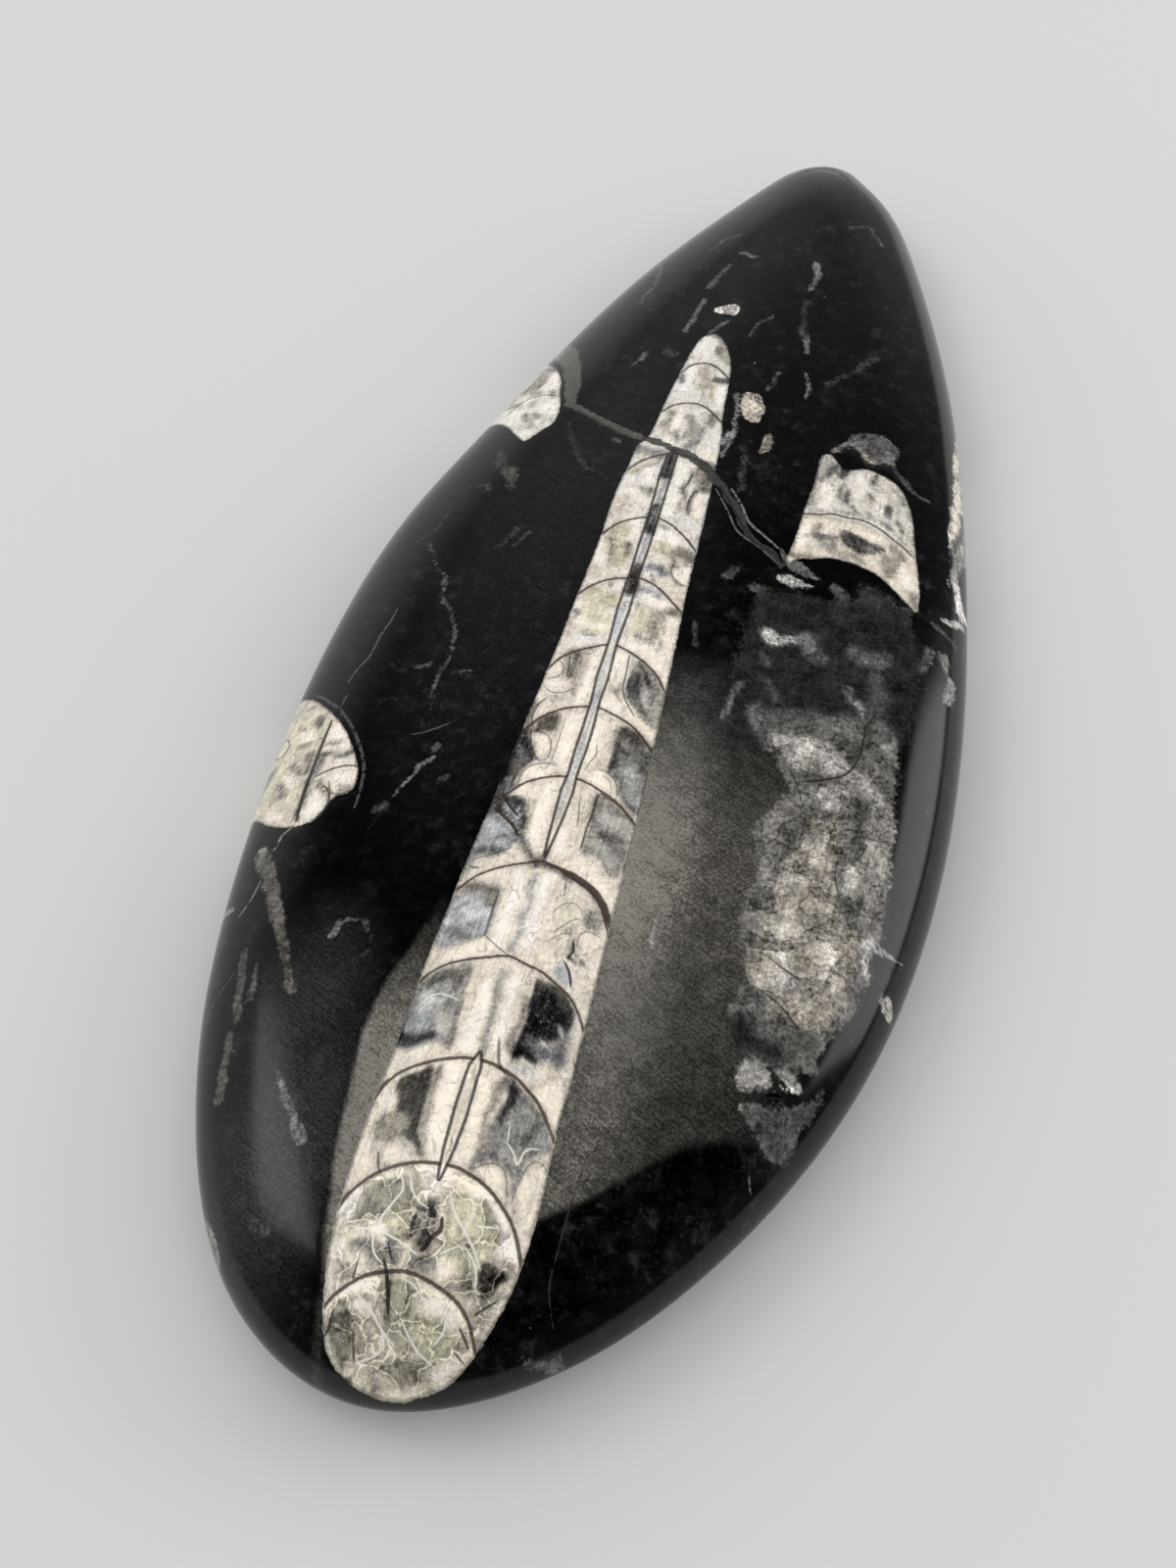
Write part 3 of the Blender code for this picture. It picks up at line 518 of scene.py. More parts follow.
    (0.9, 0.8, 1.4, [(1.2, -91.6), (3, -92.4)]),
    (0.55, 1.4, (2.2, 1.8), [(-3.4, -98.2), (-0.8, -97.6), (1.6, -97)]),
    (0.42, 1.0, 0.7, [(-4, -97.8), (-2.8, -98.6)]),
    (0.9, 0.8, 1.3, [(2.6, -96.6), (4, -95.4)]),
    (0.9, 0.6, 1.2, [(-8.6, -96.6), (-7.2, -98.4)]),
    (0.4, 0.8, 0.6, [(-3.4, -90.6), (-3.2, -92.6), (-2.8, -94)]),
    (0.12, 0.6, 0.5, [(-6, -98.7), (-5, -98.9)]),
    # second fossil, above its wall and below it
    (0.8, 0.7, 0, [(15.4, 26), (15.4, 17), (18, 17.4), (22, 17.4), (26, 16), (29, 14), (28, 19), (26, 24),
        (23, 26), (20, 26), (18, 24)]),
    (0.94, 0.6, 1.6, [(17, 21), (17.4, 18)]),
    (0.93, 0.6, 1.1, [(20.6, 24.6), (21.2, 22.6), (20.4, 20.6)]),
    (0.93, 0.6, 1.1, [(23.6, 22), (24, 19.6)]),
    (0.46, 0.6, 0.5, [(25.4, 23.6), (26.6, 21.6)]),
    (0.5, 0.6, 0.5, [(19, 22.8), (18.4, 21.4), (18.6, 20)]),
    (0.44, 0.6, 0.5, [(22.2, 18.6), (23.2, 17.6)]),
    (0.62, 0.6, 0, [(14.6, 27), (16, 27.6), (17.4, 26), (17.2, 24.4), (16, 22.4), (15, 23)]),
    (0.22, 0.4, 1.2, [(18.4, 26.2), (18.3, 24.2)]),
    (0.3, 0.4, 0.8, [(17.2, 25.6), (16.6, 24)]),
    (0.6, 0.8, 1.2, [(14.8, 22), (14.9, 18)]),
    (0.28, 0.5, 0.6, [(22.4, 25.6), (22.6, 24)]),
    (0.38, 0.5, 0.6, [(22, 22), (22.6, 21)]),
    (0.34, 0.4, 0.7, [(19.4, 21.2), (19.6, 19.6)]),
    (0.4, 0.4, 0.6, [(20.6, 18.8), (21.2, 18)]),
    (0.28, 0.4, 0.9, [(24.8, 20), (25, 18.8)]),
    (0.42, 0.5, 0.5, [(26.2, 18.4), (27, 16.8)]),
    (0.4, 0.4, 0.6, [(24.6, 17.2), (25.4, 16.6)]),
    (0.62, 0.6, 0.5, [(27, 22), (28.2, 18.6)]),
    (0.84, 1.1, 0, [(14, 15), (18, 16.2), (22, 16.2), (26, 14.6), (30, 12), (31.4, 4), (29, 5), (25, 8),
        (21, 9.4), (17, 8.4), (14, 6)]),
    (0.6, 0.8, 1.1, [(16.8, 12.4), (18.4, 11.2), (19.4, 10.4)]),
    (0.4, 0.6, 0.9, [(17.8, 12.6), (19.2, 12.8)]),
    (0.58, 0.7, 0.8, [(22.2, 10.6), (23.2, 9.8)]),
    (0.52, 0.8, 1.4, [(26.6, 13.4), (27.2, 10.4), (26.6, 8.6)]),
    (0.95, 0.6, 1.8, [(15.4, 13.4), (15.2, 10.8)]),
    (0.5, 1.0, 0.8, [(17.2, 14.4), (17.2, 12.4)]),
    (0.92, 0.9, 0.9, [(18.2, 15.4), (18, 13.4)]),
    (0.5, 0.6, 1.0, [(18.8, 13), (19.4, 11.6)]),
    (0.24, 0.6, 0, [(19.8, 13.7), (20.9, 14.4), (22.9, 13.7), (25.2, 12.8), (25.3, 12.2), (23.5, 11.4),
        (21.4, 11.4), (20.3, 12.3)]),
    (0.45, 0.6, 0.8, [(22.2, 12.6), (24, 12)]),
    (0.6, 1.0, 0.9, [(20, 10.4), (21.6, 10.2)]),
    (0.92, 0.9, 1.0, [(22, 14.8), (24.4, 14.2)]),
    (0.62, 1.0, 1.2, [(25.6, 11.8), (26.4, 9.8)]),
    (0.95, 0.6, 1.3, [(28.2, 10), (29.4, 7.6)]),
    (0.42, 0.7, 0.7, [(27.4, 13), (28, 11.8)]),
    (0.48, 0.9, 1.0, [(30, 6.4), (30.6, 4.8)]),
    (0.48, 1.0, 1.0, [(14.4, 8.6), (15.4, 8.2), (17.4, 8.6)]),
    # half-round section at the left edge
    (0.8, 1.4, 0, [(-41, -22), (-34, -26.2), (-31.8, -28.4), (-31.4, -36), (-31, -44), (-34, -43.4),
        (-42, -37)]),
    (0.74, 1.0, (2.4, 1.2), [(-38.6, -24.4), (-36.4, -25)]),
    (0.52, 0.9, 0.5, [(-38.8, -26.2), (-36.6, -26.2), (-34.4, -26.3)]),
    (0.93, 0.7, 1.6, [(-34.6, -30.2), (-33.6, -31)]),
    (0.3, 0.6, 0.8, [(-33.4, -27.8), (-33, -29)]),
    (0.44, 0.7, 0.6, [(-35.8, -29), (-35, -29.6)]),
    (0.46, 0.7, 0.6, [(-34.6, -32.2), (-33.6, -32)]),
    (0.36, 0.5, 1.0, [(-32.6, -33.6), (-32.2, -36)]),
    (0.46, 0.5, 0.6, [(-34.6, -35.2), (-33, -36.2)]),
    (0.92, 0.5, 0.9, [(-34.4, -36.6), (-33, -37.4)]),
    (0.4, 0.5, 0.6, [(-35.4, -37.4), (-34.2, -38.6)]),
    (0.42, 0.5, 1.2, [(-37.6, -35), (-37.8, -37)]),
    (0.48, 0.5, 0.6, [(-35, -39.4), (-33.4, -39.4)]),
    (0.94, 0.7, 1.3, [(-34.6, -41.8), (-33, -42.6)]),
    (0.94, 0.7, 1.5, [(-30.4, -30), (-29, -32)]),
    (0.5, 0.6, 0.6, [(-30.8, -32), (-29.4, -31.6)]),
    (0.36, 0.5, 0.6, [(-30.6, -33.4), (-28.8, -33.6), (-27.4, -33)]),
    (0.84, 0.7, 1.2, [(-28.4, -34.6), (-27, -34.2)]),
    (0.38, 0.5, 0.9, [(-30.8, -34), (-30.8, -36.4)]),
    (0.3, 0.6, 0.8, [(-31.2, -37.4), (-31.2, -39.6), (-31, -42)]),
    (0.4, 1.0, 0.7, [(-30, -37.4), (-28.8, -39), (-28, -40.4)]),
    (0.96, 0.7, 0, [(-30.6, -39), (-29.4, -38.4), (-28.4, -39.4), (-28, -41), (-28.4, -42.6), (-29.6, -43.3),
        (-30.6, -42.2)]),
    (0.97, 0.6, 2.2, [(-27.5, -36.8), (-27, -37)]),
    (0.66, 1.0, 0.9, [(-26.2, -38.2), (-27, -38.8)]),
    # fossil at the upper left edge
    (0.46, 0.6, 0, [(-27.4, 35.6), (-25.8, 37.4), (-24.2, 36.6), (-24.6, 34.6), (-26.4, 33.8)]),
    (0.34, 0.5, 0.9, [(-26.8, 40.6), (-25.2, 40.2), (-23.8, 38.6)]),
    (0.4, 0.6, 0.8, [(-22.6, 33.2), (-21.8, 31.6)]),
    (0.44, 0.6, 0.8, [(-28.2, 31.6), (-27, 31)]),
    (0.4, 0.6, 0.7, [(-25, 28), (-24.2, 26.4)]),
    (0.52, 0.9, (1.8, 2.2), [(-25.4, 38.6), (-25.2, 36.4)]),
    (0.95, 0.6, (1.2, 1.6), [(-23.2, 37), (-22.6, 34.2)]),
    (0.64, 0.5, 1.4, [(-25.4, 34.2), (-24.4, 33)]),
    (0.66, 0.8, 1.6, [(-28.6, 38), (-28.4, 33)]),
    (0.93, 0.5, 1.8, [(-25.4, 30.6), (-26.6, 28.4)]),
    (0.66, 0.2, 0.9, [(-26.4, 30.8), (-25.8, 29.8)]),
    (0.94, 0.6, 1.6, [(-22.2, 30.6), (-21.6, 28)]),
    (0.5, 0.8, 0.9, [(-23.4, 27.8), (-22.6, 27)]),
    (0.56, 0.6, 0.6, [(-23.6, 26.6), (-23, 25)]),
    (0.64, 0.6, 0.7, [(-24.6, 31), (-24.4, 30)]),
]
# Soft marks in the limestone outside the fossils, in this order: tone, hue, width (0 for a closed area),
# points, and a softness where it isn't the usual one.
MARKS = [
    # towards the point
    (0.24, 0.2, 0.62, [(10.3, 77.5), (13, 79.3), (15.4, 76.1)], 1.2),
    (0.22, 0.2, 0.37, [(-4.7, 72.6), (-6.9, 70.9), (-8.5, 68.1)], 0.9),
    (0.26, 0.2, 0.62, [(-15.2, 65.8), (-14.5, 60.4), (-15.6, 54.3)], 1.2),
    (0.34, 0.5, 0.87, [(-3.6, 67.4), (-1.5, 67)], 1.2),
    (0.26, 0.2, 0.68, [(-4.6, 64.5), (-5.7, 61.7), (-6.4, 58.5)], 1.2),
    (0.34, 0.3, 0.68, [(-6.6, 55.5), (-6.9, 52.3), (-7.4, 48.2)], 1.2),
    (0.3, 0.1, 0.37, [(3.6, 53.6), (2.1, 51.2), (1.3, 48.2)], 0.9),
    (0.34, 0.1, 0.68, [(-2.4, 50.8), (-3, 49.6), (-4.2, 48)], 1.0),
    (0.36, 0.1, (1.12, 0.5), [(7.2, 67), (7.9, 64.4), (7.4, 60.6)], 1.2),
    (0.18, 0.1, 0.99, [(7.4, 58), (7.8, 54), (8.6, 50)], 1.8),
    (0.3, 0.1, (0.62, 0.87), [(7.8, 52), (8.9, 49.4), (9.6, 46.8)], 1.1),
    (0.4, 0.3, (0.5, 0.74), [(10.2, 42.4), (11, 40.6), (11.2, 37.6)], 1.0),
    (0.26, 0.1, 0.62, [(6.7, 41.4), (6, 37.5)], 1.2),
    (0.2, 0.2, 0.99, [(13.3, 41), (16.1, 44.7), (18.8, 49)], 1.3),
    (0.2, 0.1, 1.24, [(-8.8, 43.1), (-8, 42.7)], 1.6),
    (0.34, 0.3, (0.31, 0.68), [(-12.9, 39.4), (-11.5, 42.4)], 1.0),
    (0.74, 0.5, 0, [(-4.5, 53.2), (-3.8, 54.4), (-2, 55), (-1.1, 54), (-1.8, 52.7), (-3.3, 52.5)], 0.5),
    (0.56, 0.7, 0.31, [(-3.6, 53.4), (-2.2, 53.9)]),
    (0.6, 1.0, 0, [(3.3, 36), (5.1, 36.3), (6.3, 33.4), (6.1, 30.8), (4.4, 31.1), (3.4, 32.9)], 0.6),
    (0.5, 1.0, 0, [(7.4, 28.6), (8.3, 28.8), (8.8, 27), (8.4, 25.6), (7.2, 24.6), (7.4, 26.5)], 0.9),
    (0.42, 0.2, (0.87, 0.5), [(2.3, 35.3), (3.1, 30.9), (3.3, 26.3), (2.6, 23.2)], 1.2),
    (0.5, 0.2, 0.87, [(2.6, 27.4), (2.3, 25.6)], 1.2),
    (0.22, 0.2, 0.74, [(5.2, 25.6), (6, 21), (6.4, 17.8)], 1.8),
    # upper left
    (0.24, 0.7, (1.86, 1.36), [(-23.3, 15.8), (-22.4, 12.8)], 1.8),
    (0.22, 0.5, 0.99, [(-25.9, 12.6), (-24.9, 12)], 1.4),
    (0.19, 0.5, 1.49, [(-25.3, 18.8), (-24.9, 16.6)], 1.8),
    (0.2, 0.1, 0.37, [(-18.3, 26.1), (-16.6, 22.2), (-14.2, 18.4), (-11.5, 16.9)], 0.9),
    (0.22, 0.1, (0.87, 0.62), [(-19.2, 5.6), (-20.6, 1.5)], 1.2),
    (0.22, 0.1, 0.5, [(-17.6, 4.6), (-18.9, 1.6)], 1.0),
    (0.2, 0.1, 0.37, [(-29.2, 8.9), (-29.1, 5), (-31.4, 1.5)], 0.9),
    (0.26, 0.1, 0.87, [(-11.6, 24), (-10.6, 23.4)], 1.2),
    # middle left
    (0.3, 0.2, (0.37, 0.62), [(-29.6, 1.3), (-27.4, -2.8), (-25.6, -4.6), (-24.6, -8.4), (-22.8, -10.6),
        (-21.6, -13.2)], 0.8),
    (0.3, 0.2, (0.62, 0.31), [(-21.6, -13.2), (-21.1, -16), (-21.3, -19.5), (-21.3, -21.7),
        (-20.6, -25.8)], 0.8),
    (0.32, 0.2, (0.37, 0.62), [(-24.3, -19.4), (-22.9, -18.6)], 0.8),
    (0.3, 0.2, (0.62, 0.25), [(-19.9, -19.6), (-17.8, -18.9)], 0.8),
    (0.4, 0.3, (0.19, 0.74), [(-20.9, -38.6), (-20.1, -36.3), (-19.3, -33.9), (-18.2, -32.3)], 0.5),
    (0.28, 0.2, 0.62, [(-18.6, -31.3), (-18.3, -30.4)], 0.8),
    (0.24, 0.2, 0.74, [(-22.2, -40.6), (-21.4, -39.6)], 0.9),
    (0.22, 0.3, 0.74, [(-16.4, -35.3), (-15.6, -34.6)], 1.0),
    (0.32, 0.2, 0.5, [(-21.4, -57), (-21.1, -55.6), (-20.1, -54.7), (-18.7, -54.6), (-17.8, -55.8)], 0.8),
    (0.18, 0.2, 0.5, [(-17.3, -56.2), (-16.8, -58.2), (-18.4, -59.6)], 1.0),
    # lower left
    (0.3, 0.8, (2.1, 0.8), [(-33.2, -47.6), (-30.6, -51.3), (-27.7, -56.2), (-24.9, -61),
        (-23.1, -64.1)], 0.7),
    (0.55, 0.5, 0.6, [(-33.8, -46.8), (-33.1, -46.9)]),
    (0.46, 0.7, 0.9, [(-35.6, -53.8), (-34.6, -54.1)], 0.8),
    (0.26, 0.7, (0.8, 1.1), [(-30.3, -59.8), (-29.4, -63.2), (-28.6, -65.8), (-28, -68)], 0.8),
    (0.28, 0.6, 0.6, [(-28.1, -61.6), (-27.2, -65.6)], 0.7),
    (0.28, 0.7, (0.8, 1.3), [(-28.2, -69.4), (-27.4, -72.8), (-26.8, -76)], 0.8),
    (0.36, 0.4, (0.4, 1.2), [(-21.8, -72.4), (-19.9, -75), (-17.8, -77.6), (-16.4, -79.6)], 0.7),
    (0.4, 0.5, 0.9, [(-24.4, -87.6), (-22.6, -89.6), (-21.4, -91.2)], 0.8),
    (0.24, 0.3, 1.2, [(-18.3, -88), (-17.1, -88.6)], 1.1),
    # near the wide end
    (0.3, 0.5, (0.37, 0.74), [(9.4, -93.4), (11, -93.2), (12.6, -92)], 0.8),
    (0.44, 0.1, (0.19, 0.56), [(10.9, -44.3), (10.9, -47.7), (11.1, -50.4)], 0.7),
    (0.36, 0.1, 0.56, [(8.7, -62), (8.9, -62.3)]),
    # round the second fossil
    (0.34, 0.3, 0, [(16.2, 27.8), (17.4, 30.6), (18.6, 32.4), (19.9, 33.4), (21.4, 33.2), (23, 33),
        (24.4, 31.4), (24.7, 29.6), (24, 28.2), (21.4, 28), (20.6, 29.4), (19.2, 30), (17.8, 29.8)], 0.9),
    (0.48, 0.5, 0.6, [(16.6, 28.4), (17.7, 30.2), (19.4, 29.9), (20.6, 28.6)]),
    (0.46, 0.4, 0.7, [(22.8, 30.4), (24, 29.6)]),
    (0.26, 0.2, 0.5, [(24.2, 28), (25.6, 26.2), (27.8, 24.4)]),
    (0.62, 1.0, 0.5, [(19.6, 29.6), (20.8, 28.4), (22, 28)]),
    (0.1, 0.2, 0.9, [(17.6, 28.8), (18.8, 29.2), (19.8, 28.2), (21.4, 27.2), (23.6, 27.1),
        (25.2, 25.9)], 0.5),
    (0.24, 0.1, 0.7, [(24.3, 27.8), (26, 26), (27.7, 24.4), (29.4, 24.3)], 0.8),
    (0.6, 0.4, 0, [(13.6, 4), (15, 5), (16.4, 4.4), (18.6, 3.6), (17.5, 3.1), (14.9, 2.9)], 0.5),
    (0.34, 0.3, 0, [(13.2, 9), (15, 7.6), (16.6, 6.6), (18.6, 5.2), (17, 5), (14.6, 6.2)], 0.8),
    (0.28, 0.2, 1.2, [(20.8, 4.6), (21.8, 3.2), (22, 1.6)], 1.1),
    (0.28, 0.2, 1.5, [(11.4, 1.6), (12.6, 1.2), (13, -0.4)], 1.1),
    (0.2, 0.2, 4.0, [(25, 4), (27, 2.4)], 3.0),
    (0.24, 0.2, 1.2, [(8, 2.4), (8.4, 3.6)], 0.9),
    (0.24, 0.2, 0.8, [(5.8, -6.2), (6.8, -9.4)], 0.9),
    (0.24, 0.2, 1.0, [(29.8, 4), (29.6, 1.4)], 1.1),
    (0.66, 0.9, (1.2, 2.4), [(31.6, 42), (32.2, 36), (32.9, 30), (33.6, 24), (34, 18)], 0.8),
    (0.46, 0.5, (1.4, 0.8), [(35.4, 27), (35.5, 22), (34.8, 17), (33.9, 12)], 0.8),
    (0.1, 0.2, 0.6, [(34, 27), (34.2, 22), (33.4, 16)], 0.5),
    (0.8, 0.4, (0.8, 1.6), [(35, 12.6), (35.6, 10), (36.2, 8.4)], 0.6),
    (0.62, 0.4, 0.9, [(34, 4.9), (35.2, 5.4), (36.6, 7)], 0.6),
    (0.26, 0.3, 1.0, [(33, 3.4), (36, 2.6)], 0.9),
    (0.34, 0.4, 1.2, [(33.4, -1), (32.9, -4.4)], 1.0),
    (0.4, 0.4, 1.2, [(34.8, -0.6), (35.2, -2.4)], 0.9),
    (0.44, 0.4, 1.2, [(36.4, -3.6), (36.3, -7)], 0.9),
    # dark, speckled ground above the grey patch
    (0.15, 0.2, 0, [(12, 0), (20, 2), (30, 2), (32.6, -6), (32, -18), (24, -16), (16, -22),
        (12.4, -20)], 3.0),
    (0.8, 0.3, 0, [(13.6, -5.4), (14.6, -4.7), (16.2, -5.2), (18.3, -5), (18.4, -6.3), (17, -6.3),
        (15.4, -7), (14.2, -6.7)], 0.6),
    (0.38, 0.3, (2.4, 1.6), [(19, -5), (20, -6.6), (21, -7.4)], 1.4),
    (0.38, 0.3, 1.8, [(24.6, -5), (26.4, -6), (28.6, -5)], 1.4),
    (0.34, 0.3, 1.2, [(27.8, -8), (27.6, -10)], 1.1),
    (0.27, 0.3, 2.4, [(28.4, -11), (28.6, -15)], 1.6),
    (0.5, 0.2, 0.8, [(25, -11), (25.6, -12.4), (26.6, -13), (27.3, -14.8)], 0.7),
    (0.3, 0.2, 1.0, [(16, -12.4), (17, -14.6)], 1.1),
    (0.3, 0.2, 0.8, [(14.4, -8.6), (15.4, -10.2)], 0.9),
    (0.42, 0.2, (0.8, 0.5), [(12.9, -13.9), (12.4, -15.6), (12.3, -17.3), (12, -19.4)], 0.7),
    # the patch itself
    (0.35, 0.5, 0, GREY_PATCH, 1.8),
    (0.33, 0.3, 0, [(14, -17), (15.4, -16), (17.6, -17.6), (18, -19), (16.6, -19.8), (15, -18.8)], 0.9),
    (0.34, 0.3, 0.8, [(18.6, -17), (20.6, -16.4), (23, -17)], 1.0),
    (0.38, 0.4, 2.6, [(25.4, -16.6), (25.8, -19)], 1.4),
    (0.54, 0.5, 0, [(17.6, -20.4), (19.6, -20), (21.6, -19.2), (23.6, -19.4), (25.6, -20.4), (26.8, -21.8),
        (26, -23.2), (24, -24.2), (21.6, -24), (19.6, -22.6)], 1.0),
    (0.68, 0.5, (0.5, 1.2), [(22.2, -19.6), (21.8, -22), (21.6, -23.6)], 0.8),
    (0.66, 0.4, (0.6, 1.0), [(24, -20), (24.8, -21.4), (25, -22.8)], 0.9),
    (0.42, 0.4, 0.8, [(20.4, -20.4), (20, -22.4)], 0.7),
    (0.38, 0.4, 2.4, [(30, -18.4), (29.4, -20.4)], 1.4),
    (0.52, 0.4, (0.8, 0.4), [(30, -18.8), (31.4, -16.6)], 0.7),
    (0.5, 0.5, 0, [(27.8, -22.6), (29.4, -23.6), (31.8, -25), (33, -29), (33.4, -34), (33, -40), (31, -40),
        (29, -37), (28, -33), (26, -29), (25, -26)], 1.2),
    (0.6, 0.5, (0.7, 1.1), [(28, -22.8), (29.8, -24.2), (31.4, -25.4)], 0.9),
    (0.66, 0.4, 2.2, [(24.8, -26.8), (25.6, -27.4)], 1.0),
    (0.46, 0.4, 1.8, [(22.4, -26.6), (23, -28.6)], 1.2),
    (0.28, 0.4, 1.6, [(29.2, -26.6), (29.2, -28.6)], 1.2),
    (0.3, 0.4, 0.9, [(29.4, -31), (30, -32)], 0.8),
    (0.53, 0.9, 0, [(24.6, -31), (26, -30), (27.6, -32), (28.2, -38), (29.6, -41.6), (31.4, -44),
        (31.6, -50), (29.8, -55), (25, -54.6), (21.6, -50.6), (21.2, -44), (22.4, -38)], 1.4),
    (0.64, 0.8, 1.6, [(26.6, -30.2), (25.8, -34), (24.6, -37.4)], 0.9),
    (0.6, 0.8, 0.9, [(24, -34), (22.4, -40)], 0.7),
    (0.38, 0.6, 0.5, [(24.9, -36.4), (23.4, -42), (22.6, -46)], 0.5),
    (0.6, 0.7, 1.4, [(23.4, -45), (24.4, -48)], 0.9),
    (0.62, 0.7, 1.6, [(28.8, -45), (29.4, -49)], 1.2),
    (0.56, 0.6, 1.3, [(31.2, -34.6), (31.8, -37), (31.6, -40)], 1.1),
    (0.58, 0.5, 0.9, [(29.2, -35), (29.8, -37), (29.4, -39)], 0.9),
    (0.24, 0.4, 0.8, [(30.6, -37.2), (31, -39.6)], 0.9),
    (0.44, 0.5, (2.2, 1.6), [(20.6, -32), (21, -38), (21, -44)], 1.8),
    (0.42, 0.3, 0.6, [(19.4, -33.6), (21.4, -31.8)], 0.7),
    (0.72, 0.4, (1.0, 0.5), [(32.6, -43), (32.6, -44.6), (33, -47)], 0.6),
    (0.56, 0.4, 0.5, [(33, -43.8), (34.4, -43.6), (35.6, -43.2)], 0.6),
    (0.3, 0.4, 0, [(21.4, -52), (23, -54), (27, -55.6), (30, -55.6), (28.4, -60), (22, -59)], 1.4),
    (0.58, 0.5, 0, [(24.2, -49.4), (26.6, -50.6), (25, -52.6), (24, -51.6)], 0.6),
    (0.44, 0.4, (0.9, 1.4), [(22.4, -54.4), (24.2, -54.8)], 1.0),
    (0.14, 0.3, 1.8, [(21.6, -56.4), (22.6, -58.4), (25.4, -58.8)], 1.4),
    (0.36, 0.4, 1.4, [(28.6, -58.4), (29.6, -59)], 1.1),
    (0.48, 0.4, 0, [(22.6, -61), (24, -60.2), (25.6, -61), (25.8, -62.6), (24.4, -63.6),
        (22.9, -63.6)], 0.9),
    (0.42, 0.4, 1.4, [(26.8, -60.8), (28.4, -61.2)], 0.9),
    (0.8, 0.3, 0.3, [(27.2, -62.1), (28.2, -62), (29, -61.6)], 0.4),
    (0.03, 0.1, 0, [(25.4, -63.4), (26.8, -62.7), (27.6, -63), (26.6, -63.7)], 0.4),
    (0.3, 0.4, 0, [(23.6, -65), (27, -64.2), (29.6, -63.2), (29.6, -66.6), (28, -69), (25.6, -67.6)], 1.2),
    (0.46, 0.4, 0.6, [(23.8, -65.4), (25.6, -64.6)], 0.7),
    (0.26, 0.2, 0, [(28, -64), (29.8, -62.6), (31.4, -60), (30.4, -64)], 1.0),
    (0.6, 0.5, 1.3, [(35.6, -48.2), (35.9, -48.9)], 0.7),
]
# Thin pale lines: width, tone, points.
THREADS = [
    (0.3, 0.34, [(-29.8, -10.3), (-29.9, -12.4), (-30.4, -15.2), (-30.6, -18.5), (-31.4, -20.5),
        (-31.9, -22.8)]),
    (0.28, 0.32, [(-31.2, -24.4), (-31.4, -26.6)]),
    (0.35, 0.5, [(-30.7, -43.9), (-31.6, -45), (-31.7, -46.4), (-32, -47.2)]),
    (0.3, 0.42, [(-31.9, -50.6), (-32.1, -52.8), (-32.5, -54.3), (-33, -55.4)]),
    (0.22, 0.3, [(-30.4, -62), (-31.2, -63.8), (-32, -65.9), (-32, -67.6)]),
    (0.28, 0.32, [(-21.6, -29.5), (-19.7, -28.5), (-17.7, -27)]),
    (0.22, 0.22, [(-20.9, -38.8), (-21.5, -40.8), (-22.1, -43.3)]),
    (0.22, 0.26, [(10.5, -75.5), (10.3, -79.2), (10.3, -83.9), (10.4, -87.2), (11.6, -90.3)]),
    (0.2, 0.24, [(22.2, 38.3), (24.4, 37.9), (26.4, 37.1)]),
    (0.18, 0.26, [(32.3, -9.8), (34.6, -10.8), (36.4, -12.1)]),
    (0.45, 0.32, [(-36, -23.8), (-34, -25), (-31, -27.2), (-28, -30.6), (-25.6, -34.6), (-24.8, -38),
        (-24.6, -40.8)]),
    (0.25, 0.5, [(24.1, -49.2), (26.8, -50.6), (25.4, -52.2)]),
    (0.3, 0.5, [(33.2, -42.4), (34.7, -43.6), (36.6, -43.2)]),
    (0.25, 0.4, [(25.8, -71.2), (26.3, -72.6)]),
    (0.4, 0.46, [(5.2, 17.6), (7.2, 14.8), (8.6, 12.2), (11.2, 10.2), (13.2, 8.6)]),
    (0.3, 0.4, [(3.4, 17), (5.8, 13.2), (7.6, 10.2), (10.8, 8.2), (13.6, 6)]),
    (0.25, 0.5, [(-19, 30.2), (-15.6, 28.6), (-12.2, 26.8), (-9, 25.4)]),
    (0.22, 0.36, [(12.4, -36.5), (13.2, -33.2), (14.4, -30.4)]),
]
# Dark hair lines outside the fossils: width, strength, points.
CRACKS = [
    (0.3, 0.8, [(27.7, -15.6), (27.9, -18.6), (27.6, -21.4), (26.6, -23.4), (24.4, -24.8), (22, -25.8)]),
    (0.2, 0.7, [(22.4, -48.2), (24.4, -49.2), (26.8, -50.4)]),
    (0.22, 0.7, [(22.8, -52.4), (25.2, -53.6), (27.8, -55.8)]),
    (0.22, 0.6, [(27.8, -34.6), (28, -37), (29, -39.8)]),
    (0.22, 0.6, [(26.4, -30), (27.4, -31.6)]),
    (0.2, 0.6, [(20.8, -24.6), (22, -26.6), (22.6, -28)]),
    (0.25, 0.7, [(23.4, -64.8), (25.4, -63.8), (27.8, -63)]),
    (0.3, 0.7, [(-20, 29.4), (-16.6, 28.2), (-13.2, 26.2), (-9.6, 24.6)]),
    (0.35, 0.8, [(3.6, 18), (5.6, 15), (7.8, 11.6), (9.8, 9.2), (12.6, 7.6), (14, 6.2)]),
]
